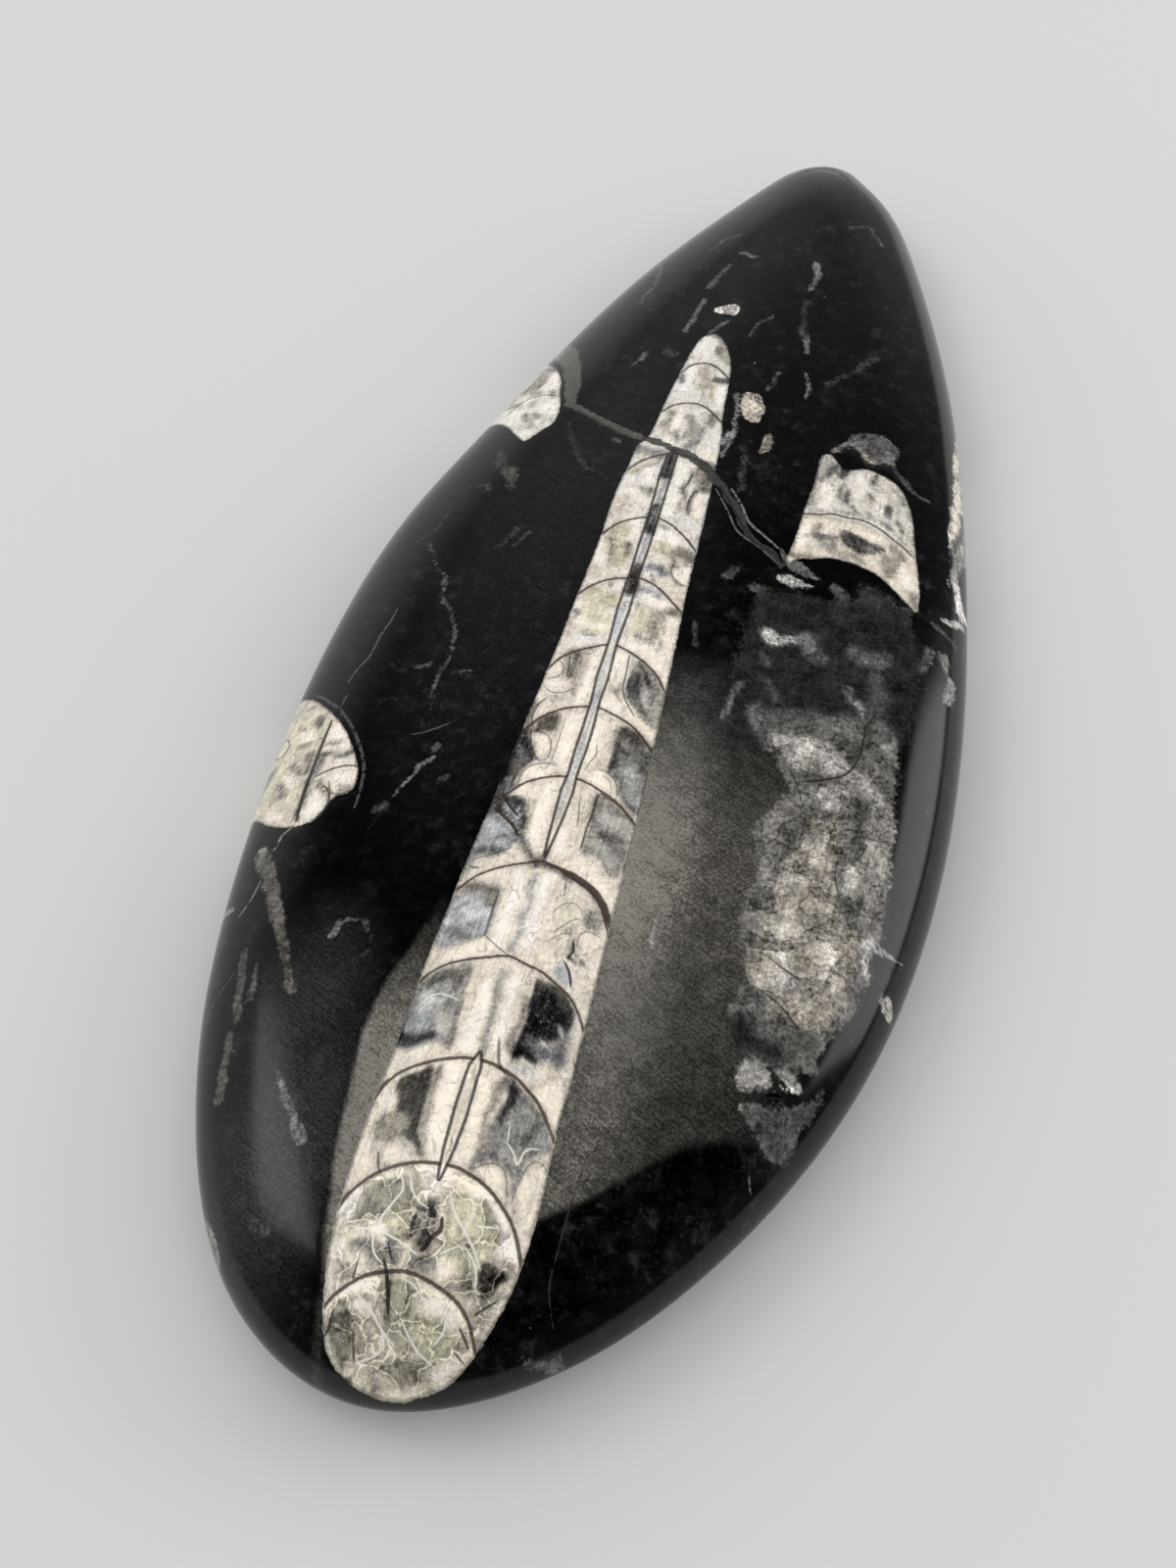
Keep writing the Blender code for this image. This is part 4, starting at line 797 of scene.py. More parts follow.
# Veins that cross the fossils: width at the first and last point, tone, hue, points.
VEINS = [
    ((3.2, 1.9), 0.34, 0.7, [(-25, 46), (-22, 40.6), (-20.4, 36), (-19.2, 30.6)]),
    ((1.0, 0.6), 0.5, 1.0, [(-25.4, 46), (-24.2, 42.6)]),
    ((1.3, 1.2), 0.33, 0.7, [(-19.6, 30.2), (-17, 28.9), (-14, 27.2), (-10.3, 25.4), (-7.4, 24.6)]),
    ((1.3, 1.3), 0.24, 0.6, [(-7.4, 24.6), (-4.4, 23.6), (-3.1, 23), (-1, 22.2), (1.2, 20.7), (2.6, 18.8)]),
    ((1.1, 0.9), 0.26, 0.4, [(2.6, 18.8), (4.9, 16.6), (6.9, 13.6), (8.6, 10.6), (10.4, 8.9), (12.6, 7.5),
        (14, 6)]),
]


def ease(value):
    """Smooth step from 0 to 1."""
    value = np.clip(value, 0.0, 1.0)
    return value * value * (3.0 - 2.0 * value)


def along(table, position):
    """Straight-line reading of a short table of (position, value) pairs."""
    rows = np.array(sorted(table), float)
    return np.interp(position, rows[:, 0], rows[:, 1])


def smooth_curve(points, steps, closed):
    """Points along a smooth curve through the given points."""
    knots = np.array(points, float)
    count = len(knots)
    share = np.linspace(0.0, 1.0, steps, endpoint=False)[:, None]
    left = 1.0 - share
    runs = []
    for i in range(count if closed else count - 1):
        before = knots[i - 1] if closed or i else knots[0]
        start, end = knots[i], knots[(i + 1) % count]
        after = knots[(i + 2) % count] if closed or i + 2 < count else knots[-1]
        first = start + (end - before) / 6.0
        second = end - (after - start) / 6.0
        runs.append(left ** 3 * start + 3 * left ** 2 * share * first + 3 * left * share ** 2 * second
                    + share ** 3 * end)
    if not closed:
        runs.append(knots[-1:])
    return np.vstack(runs)


EDGE = smooth_curve(OUTLINE, OUTLINE_STEPS, True)


def edge_distance(x, y):
    """Distance of plan points from the slab's outline."""
    best = np.full(x.shape, FAR)
    for start, end in zip(EDGE, np.roll(EDGE, -1, axis=0)):
        run = end - start
        share = np.clip(((x - start[0]) * run[0] + (y - start[1]) * run[1]) / (run @ run), 0.0, 1.0)
        best = np.minimum(best, np.hypot(x - start[0] - share * run[0], y - start[1] - share * run[1]))
    return best


def soft_depth(x, y):
    """Distance in from the outline, averaged crosswise so that the ridge along the spine is rounded."""
    spread = np.minimum(edge_distance(x, y) * SPINE_SHARE, SPINE_ROUND)
    across = x + spread * np.linspace(-1.0, 1.0, SPINE_SAMPLES)[:, None]
    return edge_distance(across, np.broadcast_to(y, across.shape)).mean(axis=0)


def from_axis(x, y):
    """Offset from the large fossil's axis, half width there, and distance outside the fossil."""
    offset = x - AXIS_X - AXIS_LEAN * y
    half = along(HALF_WIDTHS, y)
    return offset, half, np.abs(offset) - half


def relief(x, y):
    """Raised fossil with a narrow hollow on its left and a broad one on its right."""
    strength = ease((RELIEF_START - y) / (RELIEF_START - RELIEF_FULL))
    offset, half, outside = from_axis(x, y)
    hollow = np.where(offset < 0.0, LEFT_DEPTH, HOLLOW_DEPTH)
    ridge = (RIDGE_RISE + hollow) * (1.0 - np.abs(offset / half) ** RIDGE_BLUNTNESS) - hollow
    left = -LEFT_DEPTH * np.clip(1.0 - outside / along(LEFT_CREASE, y), 0.0, None)
    right = -HOLLOW_DEPTH * (1.0 - ease(outside / RIGHT_HOLLOW))
    return strength * np.where(outside <= 0.0, ridge, np.where(offset < 0.0, left, right))


def top_height(x, y):
    """Height of the visible top face."""
    depth = np.maximum(soft_depth(x, y) - SKIN, 0.0)
    turn = 1.0 - np.minimum(depth / RIM_WIDTH, 1.0)
    height = SIDE_HEIGHT + RIM_RISE * np.sqrt(1.0 - turn * turn)
    height += DOME_RISE * ease(depth / DOME_REACH)
    return height + relief(x, y) * ease(depth / RIM_WIDTH) - SKIN


def side_chain(side):
    """One side of the outline from the near end to the point, as x and y that climb together."""
    low, high = np.argmin(EDGE[:, 1]), np.argmax(EDGE[:, 1])
    count = len(EDGE)
    ring = np.vstack([EDGE, EDGE])
    if side > 0:
        return ring[low:high + 1 + (count if high < low else 0)]
    return ring[high:low + 1 + (0 if high < low else count)][::-1]


def station_heights():
    """Positions along the slab that step evenly along both sides of its outline."""
    walk = 0.0
    heights = np.linspace(EDGE[:, 1].min(), EDGE[:, 1].max(), WALK_STEPS)
    for side in (-1, 1):
        chain = side_chain(side)
        lengths = np.concatenate([[0.0], np.cumsum(np.hypot(*np.diff(chain, axis=0).T))])
        walk = walk + np.interp(heights, chain[:, 1], lengths)
    return np.interp(np.linspace(0.0, walk[-1], STATIONS + 1), walk, heights)


def rim_and_spine(side, heights):
    """The rim and the spine of one side, at each station."""
    chain = side_chain(side)
    rim = np.stack([np.interp(heights, chain[:, 1], chain[:, 0]), heights], axis=1)
    rim[0], rim[-1] = chain[0], chain[-1]
    run = np.gradient(rim, axis=0)
    inward = np.stack([-run[:, 1], run[:, 0]], axis=1) * side
    inward[0], inward[-1] = (0.0, 1.0), (0.0, -1.0)
    inward /= np.linalg.norm(inward, axis=1)[:, None]
    spine_y = heights * SPINE_REACH
    return rim + SKIN * inward, np.stack([along(SPINE_X, spine_y), spine_y], axis=1)


def side_rows(side, heights):
    """Grid of points on one side of the slab: stations by rows, from the underside up to the spine."""
    rim, spine = rim_and_spine(side, heights)
    reach = np.linalg.norm(spine - rim, axis=1)[:, None]
    inner = (spine - rim) / reach

    def level(flat, height):
        return np.column_stack([flat, np.full(len(flat), height)])

    section = smooth_curve(UNDER_SECTION + [(0.0, SIDE_HEIGHT)], SIDE_STEPS, False)[:-1]
    foot = rim + inner * section[0][0]
    rows = [level(spine + (foot - spine) * share, 0.0)
            for share in np.linspace(0.0, 1.0, UNDER_ROWS, endpoint=False)]
    rows += [level(rim + inner * gap, max(height, 0.0)) for gap, height in section]
    tops = [rim + (spine - rim) * step / reach for step in (0.0, *RIM_ROWS)]
    start = RIM_ROWS[-1] / reach
    for row in range(1, TOP_ROWS + 1):
        share = row / TOP_ROWS
        share = (1.0 + ROW_CROWDING) * share - ROW_CROWDING * share * share
        tops.append(rim + (spine - rim) * (start + (1.0 - start) * share))
    rows += [np.column_stack([flat, top_height(flat[:, 0], flat[:, 1])]) for flat in tops]
    return np.stack(rows, axis=1)


def stone_mesh():
    """Mesh of the whole stone with the drawing's fields on it, and how many fields each kind of line took."""
    heights = station_heights()
    points, faces = [], []
    for side in (-1, 1):
        grid = side_rows(side, heights)
        rows = grid.shape[1]
        number = len(points) * rows * (STATIONS + 1) + np.arange(grid.shape[0] * rows).reshape(-1, rows)
        a, b = number[:-1, :-1], number[1:, :-1]
        c, d = number[1:, 1:], number[:-1, 1:]
        corners = (a, b, c, d) if side > 0 else (a, d, c, b)
        faces.append(np.stack([part.ravel() for part in corners], axis=1))
        points.append(grid.reshape(-1, 3))
    points = np.vstack(points)
    _, first, welded = np.unique(np.round(points, 3), axis=0, return_index=True, return_inverse=True)
    points = points[first]
    corners = welded.ravel()[np.vstack(faces)]
    unique_corners = [list(dict.fromkeys(face)) for face in corners.tolist()]
    polygons = [face for face in unique_corners if len(face) > 2]
    mesh = bpy.data.meshes.new("fossil_stone")
    mesh.from_pydata((points * MM).tolist(), [], polygons)
    mesh.shade_smooth()
    return mesh, draw_fields(mesh, points)


# ---------------------------------------------------------------- the drawing as fields on the mesh's points
FIELD_REACH = 3.0      # signed distances to the shells are kept up to this far
LINE_REACH = 0.9       # thin lines are kept up to this far,
LINE_FADE = 0.45       # and fade from here on,
LINE_OVERRUN = 0.25    # and over this length past their ends
AREA_STEPS = 4
LINE_STEPS = 5

# Chamber walls are carried on past their ends, and their slope is read over a short width.
WALL_OVERRUN = 3.0
SLOPE_WIDTH = 0.6
WALL_HALF = 0.15
COARSE_WALL = 9
COARSE_EXTRA = 0.30
WIDE_EXTRA = 0.03      # the walls of the two widest chambers

# Painted strokes: cover, softness of their edges, and the darker edges of painted areas.
SHADE_COVER = 0.92
MARK_COVER = 0.9
AREA_SOFTNESS = 0.5
VEIN_SOFTNESS = 0.35
INKED_SHADES = 0.16
INK_WIDTH = 0.3
WANDER_WAVES = 14
WANDER_LENGTHS = (1.6, 5.0)
WANDER_REACH = 0.16

# Bare calcite: its tone, and its hue along the slab, cooler at the narrow end.
BARE_TONE = 0.86
BARE_HUE = [(-60, 1.0), (-25, 1.0), (0, 0.6), (60, 0.45)]

# The sawn underside begins below this height, over this much.
SAWN_TOP = 2.6
SAWN_FADE = 1.6

# Ground that is dull instead of polished; its grey is partly its own dullness and partly painted sheen.
# The right hollow ends in a sharp line, and its painted sheen fades away from the fossil.
MIRROR_EDGE = [(6, -83), (7.7, -81.3), (11.3, -78.4), (14.6, -75.2), (19.4, -70.8), (22.8, -69.1),
               (25.7, -68.5),
               (27.2, -69.8), (28, -72), (40, -80)]
LEFT_DULL_AND_SHEEN = [(-50, 0.0), (-56, 0.15), (-62, 0.45), (-68, 0.95), (-78, 1.15), (-86, 0.8), (-92, 0.1)]
RIGHT_DULL_AND_SHEEN = [(-10, 0.0), (-20, 0.22), (-28, 0.72), (-36, 1.3), (-46, 1.2), (-56, 0.82), (-66, 0.56),
              (-82, 0.38)]
RIGHT_FALL = 0.74
RIGHT_FALL_START, RIGHT_FALL_REACH = 1.5, 8.5
RIGHT_END_START, RIGHT_END_REACH = 12.0, 12.0
# Hazy places, part haze and part painted sheen: middle x, middle y, reach in x, reach in y, strength.
HAZE_AND_SHEEN_PLACES = [(-13, 5, 24, 62, 0.17), (-18, -80, 11, 24, 0.55), (-21, -66, 9, 18, 0.45), (11, -58, 9, 16, 0.5),
         (8, -28, 9, 20, 0.35)]


def nearest_run(chain, x, y):
    """Distance from a chain of straight runs, side of it, share of its length there, and overrun past its
    ends.
    """
    best = np.full(x.shape, FAR)
    side, share_at, beyond = np.zeros(x.shape), np.zeros(x.shape), np.zeros(x.shape)
    lengths = np.hypot(*np.diff(chain, axis=0).T)
    walked = np.concatenate([[0.0], np.cumsum(lengths)])
    last = len(chain) - 2
    for index, (start, end) in enumerate(zip(chain, chain[1:])):
        run = end - start
        raw = ((x - start[0]) * run[0] + (y - start[1]) * run[1]) / max(run @ run, 1e-12)
        share = np.clip(raw, 0.0, 1.0)
        away_x = x - start[0] - share * run[0]
        away_y = y - start[1] - share * run[1]
        distance = np.hypot(away_x, away_y)
        nearer = distance < best
        best = np.where(nearer, distance, best)
        side = np.where(nearer, np.sign(run[0] * away_y - run[1] * away_x), side)
        share_at = np.where(nearer, (walked[index] + share * lengths[index]) / walked[-1], share_at)
        past = np.maximum(-raw if index == 0 else 0.0, raw - 1.0 if index == last else 0.0) * lengths[index]
        beyond = np.where(nearer, np.maximum(past, 0.0), beyond)
    return best, side, share_at, beyond


def within(chain, x, y):
    """Whether each place is inside a closed chain."""
    inside = np.zeros(x.shape, bool)
    for start, end in zip(chain, np.roll(chain, -1, axis=0)):
        spans = (start[1] > y) != (end[1] > y)
        slope = (end[0] - start[0]) / (end[1] - start[1]) if end[1] != start[1] else 0.0
        inside ^= spans & (x < start[0] + (y - start[1]) * slope)
    return inside


class Plan:
    """The plan position of every mesh point, and where shapes and strokes lie among them."""

    def __init__(self, x, y):
        self.x, self.y = x, y

    def near(self, points, reach):
        low, high = np.min(points, axis=0) - reach, np.max(points, axis=0) + reach
        return np.flatnonzero((self.x > low[0]) & (self.x < high[0]) & (self.y > low[1]) & (self.y < high[1]))

    def area(self, points, reach):
        """Points near a closed shape, and how deep inside it they are."""
        chain = smooth_curve(points, AREA_STEPS, True)
        here = self.near(chain, reach)
        x, y = self.x[here], self.y[here]
        distance = nearest_run(np.vstack([chain, chain[:1]]), x, y)[0]
        return here, np.where(within(chain, x, y), distance, -distance)

    def stroke(self, points, width, reach):
        """Points near an open curve, and how deep inside its width they are."""
        chain = smooth_curve(points, LINE_STEPS, False)
        first, last = width if isinstance(width, tuple) else (width, width)
        here = self.near(chain, reach + max(first, last))
        distance, _, share, _ = nearest_run(chain, self.x[here], self.y[here])
        return here, 0.5 * (first + (last - first) * share) - distance

    def deepest(self, shapes):
        """How deep inside any of the shapes each point is."""
        field = np.full(self.x.shape, -FIELD_REACH)
        for points in shapes:
            here, depth = self.area(points, FIELD_REACH)
            field[here] = np.maximum(field[here], depth)
        return field


def taper(share):
    """Share of its width that a thin line has along its length: it thins out at both ends."""
    return 0.55 + 0.45 * np.sqrt(np.clip(4.0 * share * (1.0 - share), 0.0, 1.0))


def line_fields(plan, lines):
    """Thin lines as (signed distance, half width, strength) fields; lines that come close get separate
    fields.
    """
    fields = []
    for width, strength, points in lines:
        chain = smooth_curve(points, LINE_STEPS, False)
        here = plan.near(chain, LINE_REACH)
        distance, side, share, beyond = nearest_run(chain, plan.x[here], plan.y[here])
        mask = 1.0 - ease((distance - LINE_FADE) / (LINE_REACH - LINE_FADE))
        mask = mask * (1.0 - ease(beyond / LINE_OVERRUN))
        kept = distance < LINE_REACH
        here = here[kept]
        for field, taken in fields:
            if not taken[here].any():
                break
        else:
            field = np.zeros((len(plan.x), 3))
            field[:, 0] = LINE_REACH
            taken = np.zeros(len(plan.x), bool)
            fields.append((field, taken))
        values = np.stack([distance * side, 0.5 * width * taper(share), mask * strength], axis=1)
        field[here] = values[kept]
        taken[here] = True
    return [field for field, _ in fields]


def wall_reading(wall, x):
    """Position along the slab of a chamber wall, and its slope, at each x."""
    wall = smooth_curve(wall, AREA_STEPS, False)
    step = AREA_STEPS
    first = wall[0] + (wall[0] - wall[step]) / (wall[step][0] - wall[0][0]) * WALL_OVERRUN
    last = wall[-1] + (wall[-1] - wall[-1 - step]) / (wall[-1][0] - wall[-1 - step][0]) * WALL_OVERRUN
    chain = np.vstack([first, wall, last])
    rise = [np.interp(x + shift, chain[:, 0], chain[:, 1]) for shift in (-SLOPE_WIDTH / 2, SLOPE_WIDTH / 2)]
    return np.interp(x, chain[:, 0], chain[:, 1]), (rise[1] - rise[0]) / SLOPE_WIDTH


def chamber_fields(plan):
    """Chamber number that grows along the fossil, and the length that turns it into a distance from a
    wall.
    """
    heights, slopes = map(list, zip(*(wall_reading(wall, plan.x) for wall in SEPTA)))
    heights = [heights[0] + LAST_CHAMBER] + heights + [heights[-1] - LAST_CHAMBER]
    slopes = [slopes[0]] + slopes + [slopes[-1]]
    number = np.zeros(len(plan.x))
    length = np.full(len(plan.x), LAST_CHAMBER)
    for index, (upper, lower) in enumerate(zip(heights, heights[1:])):
        share = (upper - plan.y) / (upper - lower)
        here = (share >= 0.0) & (share < 1.0)
        slope = slopes[index] * (1.0 - share) + slopes[index + 1] * share
        number = np.where(here, index + share, number)
        length = np.where(here, (upper - lower) / np.sqrt(1.0 + slope * slope), length)
    number = np.where(plan.y < heights[-1], len(heights) - 1.0, number)
    return number, length


def wall_halves(number, x):
    """Half thickness of the nearest chamber wall; the right half of one wall is coarse."""
    coarse = ease((x + 1.0) / 3.0) * (np.abs(number - COARSE_WALL) < 0.5)
    return WALL_HALF + COARSE_EXTRA * coarse + WIDE_EXTRA * (number > 10.5)


def stroke_softness(width):
    """Softness of a stroke's edge where the stroke names none: wide strokes are softer."""
    return float(np.clip(0.25 + 0.45 * np.max(width), 0.3, 0.9))


def painted(plan, strokes, cover, start=None, inked=0.0):
    """Strokes and areas laid over each other like paint: tone, hue, cover. Areas can have darker edges."""
    field = np.zeros((len(plan.x), 3)) if start is None else start
    for tone, hue, width, points, *softness in strokes:
        closed = width == 0
        if softness:
            soft = softness[0]
        else:
            soft = AREA_SOFTNESS if closed else stroke_softness(width)
        reach = soft + 0.5
        here, depth = plan.area(points, reach) if closed else plan.stroke(points, width, reach)
        share = cover * ease(0.5 + depth / soft)
        under = field[here, 2] * (1.0 - share)
        total = np.maximum(under + share, 1e-6)
        for channel, value in ((0, tone), (1, hue)):
            field[here, channel] = (field[here, channel] * under + value * share) / total
        field[here, 2] = under + share
        if closed:
            field[here, 0] *= 1.0 - inked * np.exp(-(depth / INK_WIDTH) ** 2)
    return field


def wander(x, y, seed):
    """Slow random drift between about -1 and 1, for uneven edges of what is painted."""
    draw = np.random.default_rng(seed)
    drift = np.zeros(x.shape)
    for _ in range(WANDER_WAVES):
        heading, phase = draw.uniform(0.0, 2.0 * math.pi, 2)
        turns = 2.0 * math.pi / draw.uniform(*WANDER_LENGTHS)
        drift += np.sin((x * math.cos(heading) + y * math.sin(heading)) * turns + phase)
    return drift / math.sqrt(WANDER_WAVES)


def dull_and_sheen_field(plan):
    """How far the top is ground dull with painted sheen: left hollow, right hollow, and a general haze."""
    x, y = plan.x, plan.y
    offset, _, outside = from_axis(x, y)
    left = ease((along(LEFT_CREASE, y) - outside) / 0.6) * ease((outside + 0.8) / 0.6) * (offset < 0)
    left *= along(LEFT_DULL_AND_SHEEN, y)
    # The right hollow's painted sheen is brightest beside the fossil and falls off away from it.
    right = ease((y - along(MIRROR_EDGE, x)) / 1.2 + 0.5) * ease((outside + 0.3) / 0.5) * (offset > 0)
    right *= along(RIGHT_DULL_AND_SHEEN, y) * (1.0 - RIGHT_FALL * ease((outside - RIGHT_FALL_START) / RIGHT_FALL_REACH))
    right *= 1.0 - ease((outside - RIGHT_END_START) / RIGHT_END_REACH)
    haze_and_sheen = np.zeros(len(x))
    for middle_x, middle_y, reach_x, reach_y, strength in HAZE_AND_SHEEN_PLACES:
        away = np.hypot((x - middle_x) / reach_x, (y - middle_y) / reach_y)
        haze_and_sheen = np.maximum(haze_and_sheen, strength * (1.0 - ease(away)))
    return np.stack([left, right, haze_and_sheen], axis=1)


def add_field(mesh, name, values):
    """Store one number or three for every point of the mesh."""
    kind = "FLOAT" if values.ndim == 1 else "FLOAT_VECTOR"
    layer = mesh.attributes.new(name, kind, "POINT")
    layer.data.foreach_set("value" if values.ndim == 1 else "vector", values.astype(np.float32).ravel())


def draw_fields(mesh, points):
    """Store the fossils' drawing on the mesh; returns how many fields each kind of line took."""
    x, y, z = points.T
    sawn = ease((SAWN_TOP - z) / SAWN_FADE)
    kept = (1.0 - sawn)[:, None]
    plan = Plan(x, y)
    drifted = Plan(x + WANDER_REACH * wander(x, y, 1), y + WANDER_REACH * wander(x, y, 2))

    number, length = chamber_fields(plan)
    bare = np.column_stack([np.full(len(x), BARE_TONE), along(BARE_HUE, y), np.ones(len(x))])
    shades = painted(drifted, SHADES, SHADE_COVER, bare, INKED_SHADES)
    every_shell = [MAIN_SHELL, SECOND_SHELL, HALF_SHELL, UPPER_SHELL]
    shades[:, 2] = plan.deepest(every_shell) - FIELD_REACH * 2.0 * sawn
    tube = [x - along(TUBE_MIDDLE, y), along(TUBE_HALF, y), wall_halves(number, x)]
    add_field(mesh, "shades", shades)
    add_field(mesh, "shell", np.stack([plan.deepest([MAIN_SHELL]), number, length], axis=1))
    add_field(mesh, "tube", np.stack(tube, axis=1))
    add_field(mesh, "sawn", sawn)

    veins = [(tone, hue, width, points, VEIN_SOFTNESS) for width, tone, hue, points in VEINS]
    for name, field in (("marks", painted(drifted, MARKS, MARK_COVER)),
                        ("veins", painted(drifted, veins, 1.0))):
        field[:, 2:] *= kept
        add_field(mesh, name, field)
    # Dull ground with its painted sheen, kept off the sawn underside.
    add_field(mesh, "dull_and_sheen", dull_and_sheen_field(plan) * kept)

    counts = {}
    white = [(width, 1.0, points) for width, points in WHITE_LINES]
    for name, lines in (("dark", DARK_LINES + CRACKS), ("white", white), ("pale", THREADS)):
        fields = line_fields(plan, lines)
        for index, field in enumerate(fields):
            field[:, 2:] *= kept
            add_field(mesh, f"{name}_{index}", field)
        counts[name] = len(fields)
    return counts


# ---------------------------------------------------------------- shader writing
def linear(value):
    """Light of a screen grey or colour."""
    if isinstance(value, tuple):
        return tuple(linear(part) for part in value)
    return value / 12.92 if value <= 0.04045 else ((value + 0.055) / 1.055) ** 2.4


class Wire:
    """A number in a shader, with ordinary arithmetic."""

    def __init__(self, board, socket):
        self.board, self.socket = board, socket

    def __add__(self, other):
        return self.board.math("ADD", self, other)

    def __sub__(self, other):
        return self.board.math("SUBTRACT", self, other)

    def __rsub__(self, other):
        return self.board.math("SUBTRACT", other, self)

    def __mul__(self, other):
        return self.board.math("MULTIPLY", self, other)

    def __abs__(self):
        return self.board.math("ABSOLUTE", self)

    __radd__ = __add__
    __rmul__ = __mul__


class Board:
    """A node tree, written as expressions."""

    def __init__(self, tree):
        self.tree = tree

    def put(self, socket, value):
        """Link a wire or socket to a socket, or set the socket to a value."""
        if isinstance(value, Wire):
            self.tree.links.new(value.socket, socket)
        elif isinstance(value, bpy.types.NodeSocket):
            self.tree.links.new(value, socket)
        elif isinstance(value, tuple) and socket.type == "RGBA":
            socket.default_value = (*value[:3], 1.0)
        else:
            socket.default_value = value

    def node(self, kind, inputs=(), **settings):
        node = self.tree.nodes.new(kind)
        for name, value in settings.items():
            setattr(node, name, value)
        for name, value in dict(inputs).items():
            self.put(node.inputs[name], value)
        return node

    def math(self, operation, first, second=0.0):
        node = self.node("ShaderNodeMath", {0: first, 1: second}, operation=operation)
        return Wire(self, node.outputs[0])

    def least(self, first, second):
        return self.math("MINIMUM", first, second)

    def most(self, first, second):
        return self.math("MAXIMUM", first, second)

    def rise(self, value, low, high, bottom=0.0, top=1.0):
        """Smooth change from bottom to top while the value goes from low to high."""
        if low > high:
            low, high, bottom, top = high, low, top, bottom
        inputs = {"Value": value, "From Min": low, "From Max": high, "To Min": bottom, "To Max": top}
        node = self.node("ShaderNodeMapRange", inputs, interpolation_type="SMOOTHSTEP")
        return Wire(self, node.outputs[0])

    def parts(self, vector):
        node = self.node("ShaderNodeSeparateXYZ", {0: vector})
        return [Wire(self, output) for output in node.outputs]

    def field(self, name):
        """The three numbers of a field on the mesh."""
        return self.parts(self.node("ShaderNodeAttribute", attribute_name=name).outputs["Vector"])

    def blend(self, share, under, over):
        """Colour over another by a share."""
        node = self.node("ShaderNodeMix", data_type="RGBA")
        for index, value in ((0, share), (6, under), (7, over)):
            self.put(node.inputs[index], value)
        return node.outputs[2]

    def light(self, tone):
        """Light of a screen tone."""
        return self.math("POWER", self.most(tone, 0.0), SCREEN_CURVE)

    def tinted(self, value, tint):
        """Colour of a brightness with a tint."""
        node = self.node("ShaderNodeVectorMath", {0: tint, "Scale": value}, operation="SCALE")
        return node.outputs[0]


class Stone(Board):
    """The stone's material: its tree, and the noises and crystals that the colours share."""

    def __init__(self, name):
        self.material = bpy.data.materials.new(name)
        self.material.use_nodes = True
        super().__init__(self.material.node_tree)
        self.shader = self.tree.nodes["Principled BSDF"]
        place = self.tree.nodes.new("ShaderNodeTexCoord")
        self.place = self.scaled(place.outputs["Object"], (PER_METRE, PER_METRE, PER_METRE))
        self.noises = {name: self.noise(*settings) for name, settings in NOISES.items()}
        swirl = self.node("ShaderNodeTexNoise", {"Vector": self.place, "Scale": SWIRL_SCALE, "Detail": 2.0})
        push = self.node("ShaderNodeVectorMath", {0: swirl.outputs["Color"], "Scale": SWIRL_PUSH},
                         operation="SCALE")
        bent = self.node("ShaderNodeVectorMath", {0: self.place, 1: push.outputs[0]}, operation="ADD")
        self.seams, _ = self.cells(CRYSTAL_SCALE, bent.outputs[0], "DISTANCE_TO_EDGE")
        _, self.facets = self.cells(CRYSTAL_SCALE, bent.outputs[0])

    def __getitem__(self, name):
        return self.noises[name]

    def scaled(self, vector, scale, turn=0.0, shift=0.0):
        inputs = {"Vector": vector, "Scale": scale, "Rotation": (0.0, 0.0, math.radians(turn)),
                  "Location": (shift, shift, shift)}
        return self.node("ShaderNodeMapping", inputs).outputs["Vector"]

    def noise(self, scale, detail, rough, shift=0.0, stretch=None, turn=0.0, distort=0.0):
        """Noise in the stone; scale is per millimetre."""
        vector = self.place
        if turn:
            vector = self.scaled(vector, (1.0, 1.0, 1.0), turn)
        if stretch or shift:
            vector = self.scaled(vector, stretch or (1.0, 1.0, 1.0), shift=shift)
        inputs = {"Vector": vector, "Scale": scale, "Detail": detail, "Roughness": rough,
                  "Distortion": distort}
        return Wire(self, self.node("ShaderNodeTexNoise", inputs).outputs[0])

    def cells(self, scale, vector, feature="F1"):
        """Distance in each cell, and a random number that each cell has."""
        node = self.node("ShaderNodeTexVoronoi", {"Vector": vector, "Scale": scale}, feature=feature)
        distance = Wire(self, node.outputs["Distance"])
        return distance, None if feature == "DISTANCE_TO_EDGE" else self.parts(node.outputs["Color"])[0]

    def mixed(self, **shares):
        """Sum of noises about zero, each by its share."""
        total = None
        for name, share in shares.items():
            part = (self[name] - 0.5) * share
            total = part if total is None else total + part
        return total


SCREEN_CURVE = 2.2

# Noises in the stone: scale per millimetre, detail, roughness, shift, stretch, turn in degrees, distortion.
NOISES = {
    "cloud": (0.07, 3.0, 0.6),
    "middle": (0.55, 4.0, 0.6, 11.0),
    "mottle": (0.45, 7.0, 0.68, 23.0, None, 0.0, 0.35),
    "warp": (0.9, 2.0, 0.5, 31.0),
    "fine": (2.1, 3.0, 0.65, 5.0),
    "sand": (3.4, 4.0, 0.8, 41.0),
    "grain": (6.5, 2.0, 0.6, 17.0),
    "fibre": (1.0, 3.0, 0.6, 3.0, (3.2, 0.22, 1.0)),
    "growth": (1.0, 1.0, 0.4, 9.0, (0.55, 0.30, 1.0), 0.0, 0.9),
    "scratch": (1.0, 2.0, 0.7, 0.0, (0.35, 7.0, 1.0), 28.0),
    "saw": (1.0, 2.0, 0.6, 0.0, (0.05, 3.0, 1.0), -12.0),
}
# Crystals: their scale per millimetre, and how far a slow swirl bends them.
CRYSTAL_SCALE = 0.31
SWIRL_SCALE = 0.5
SWIRL_PUSH = 3.2

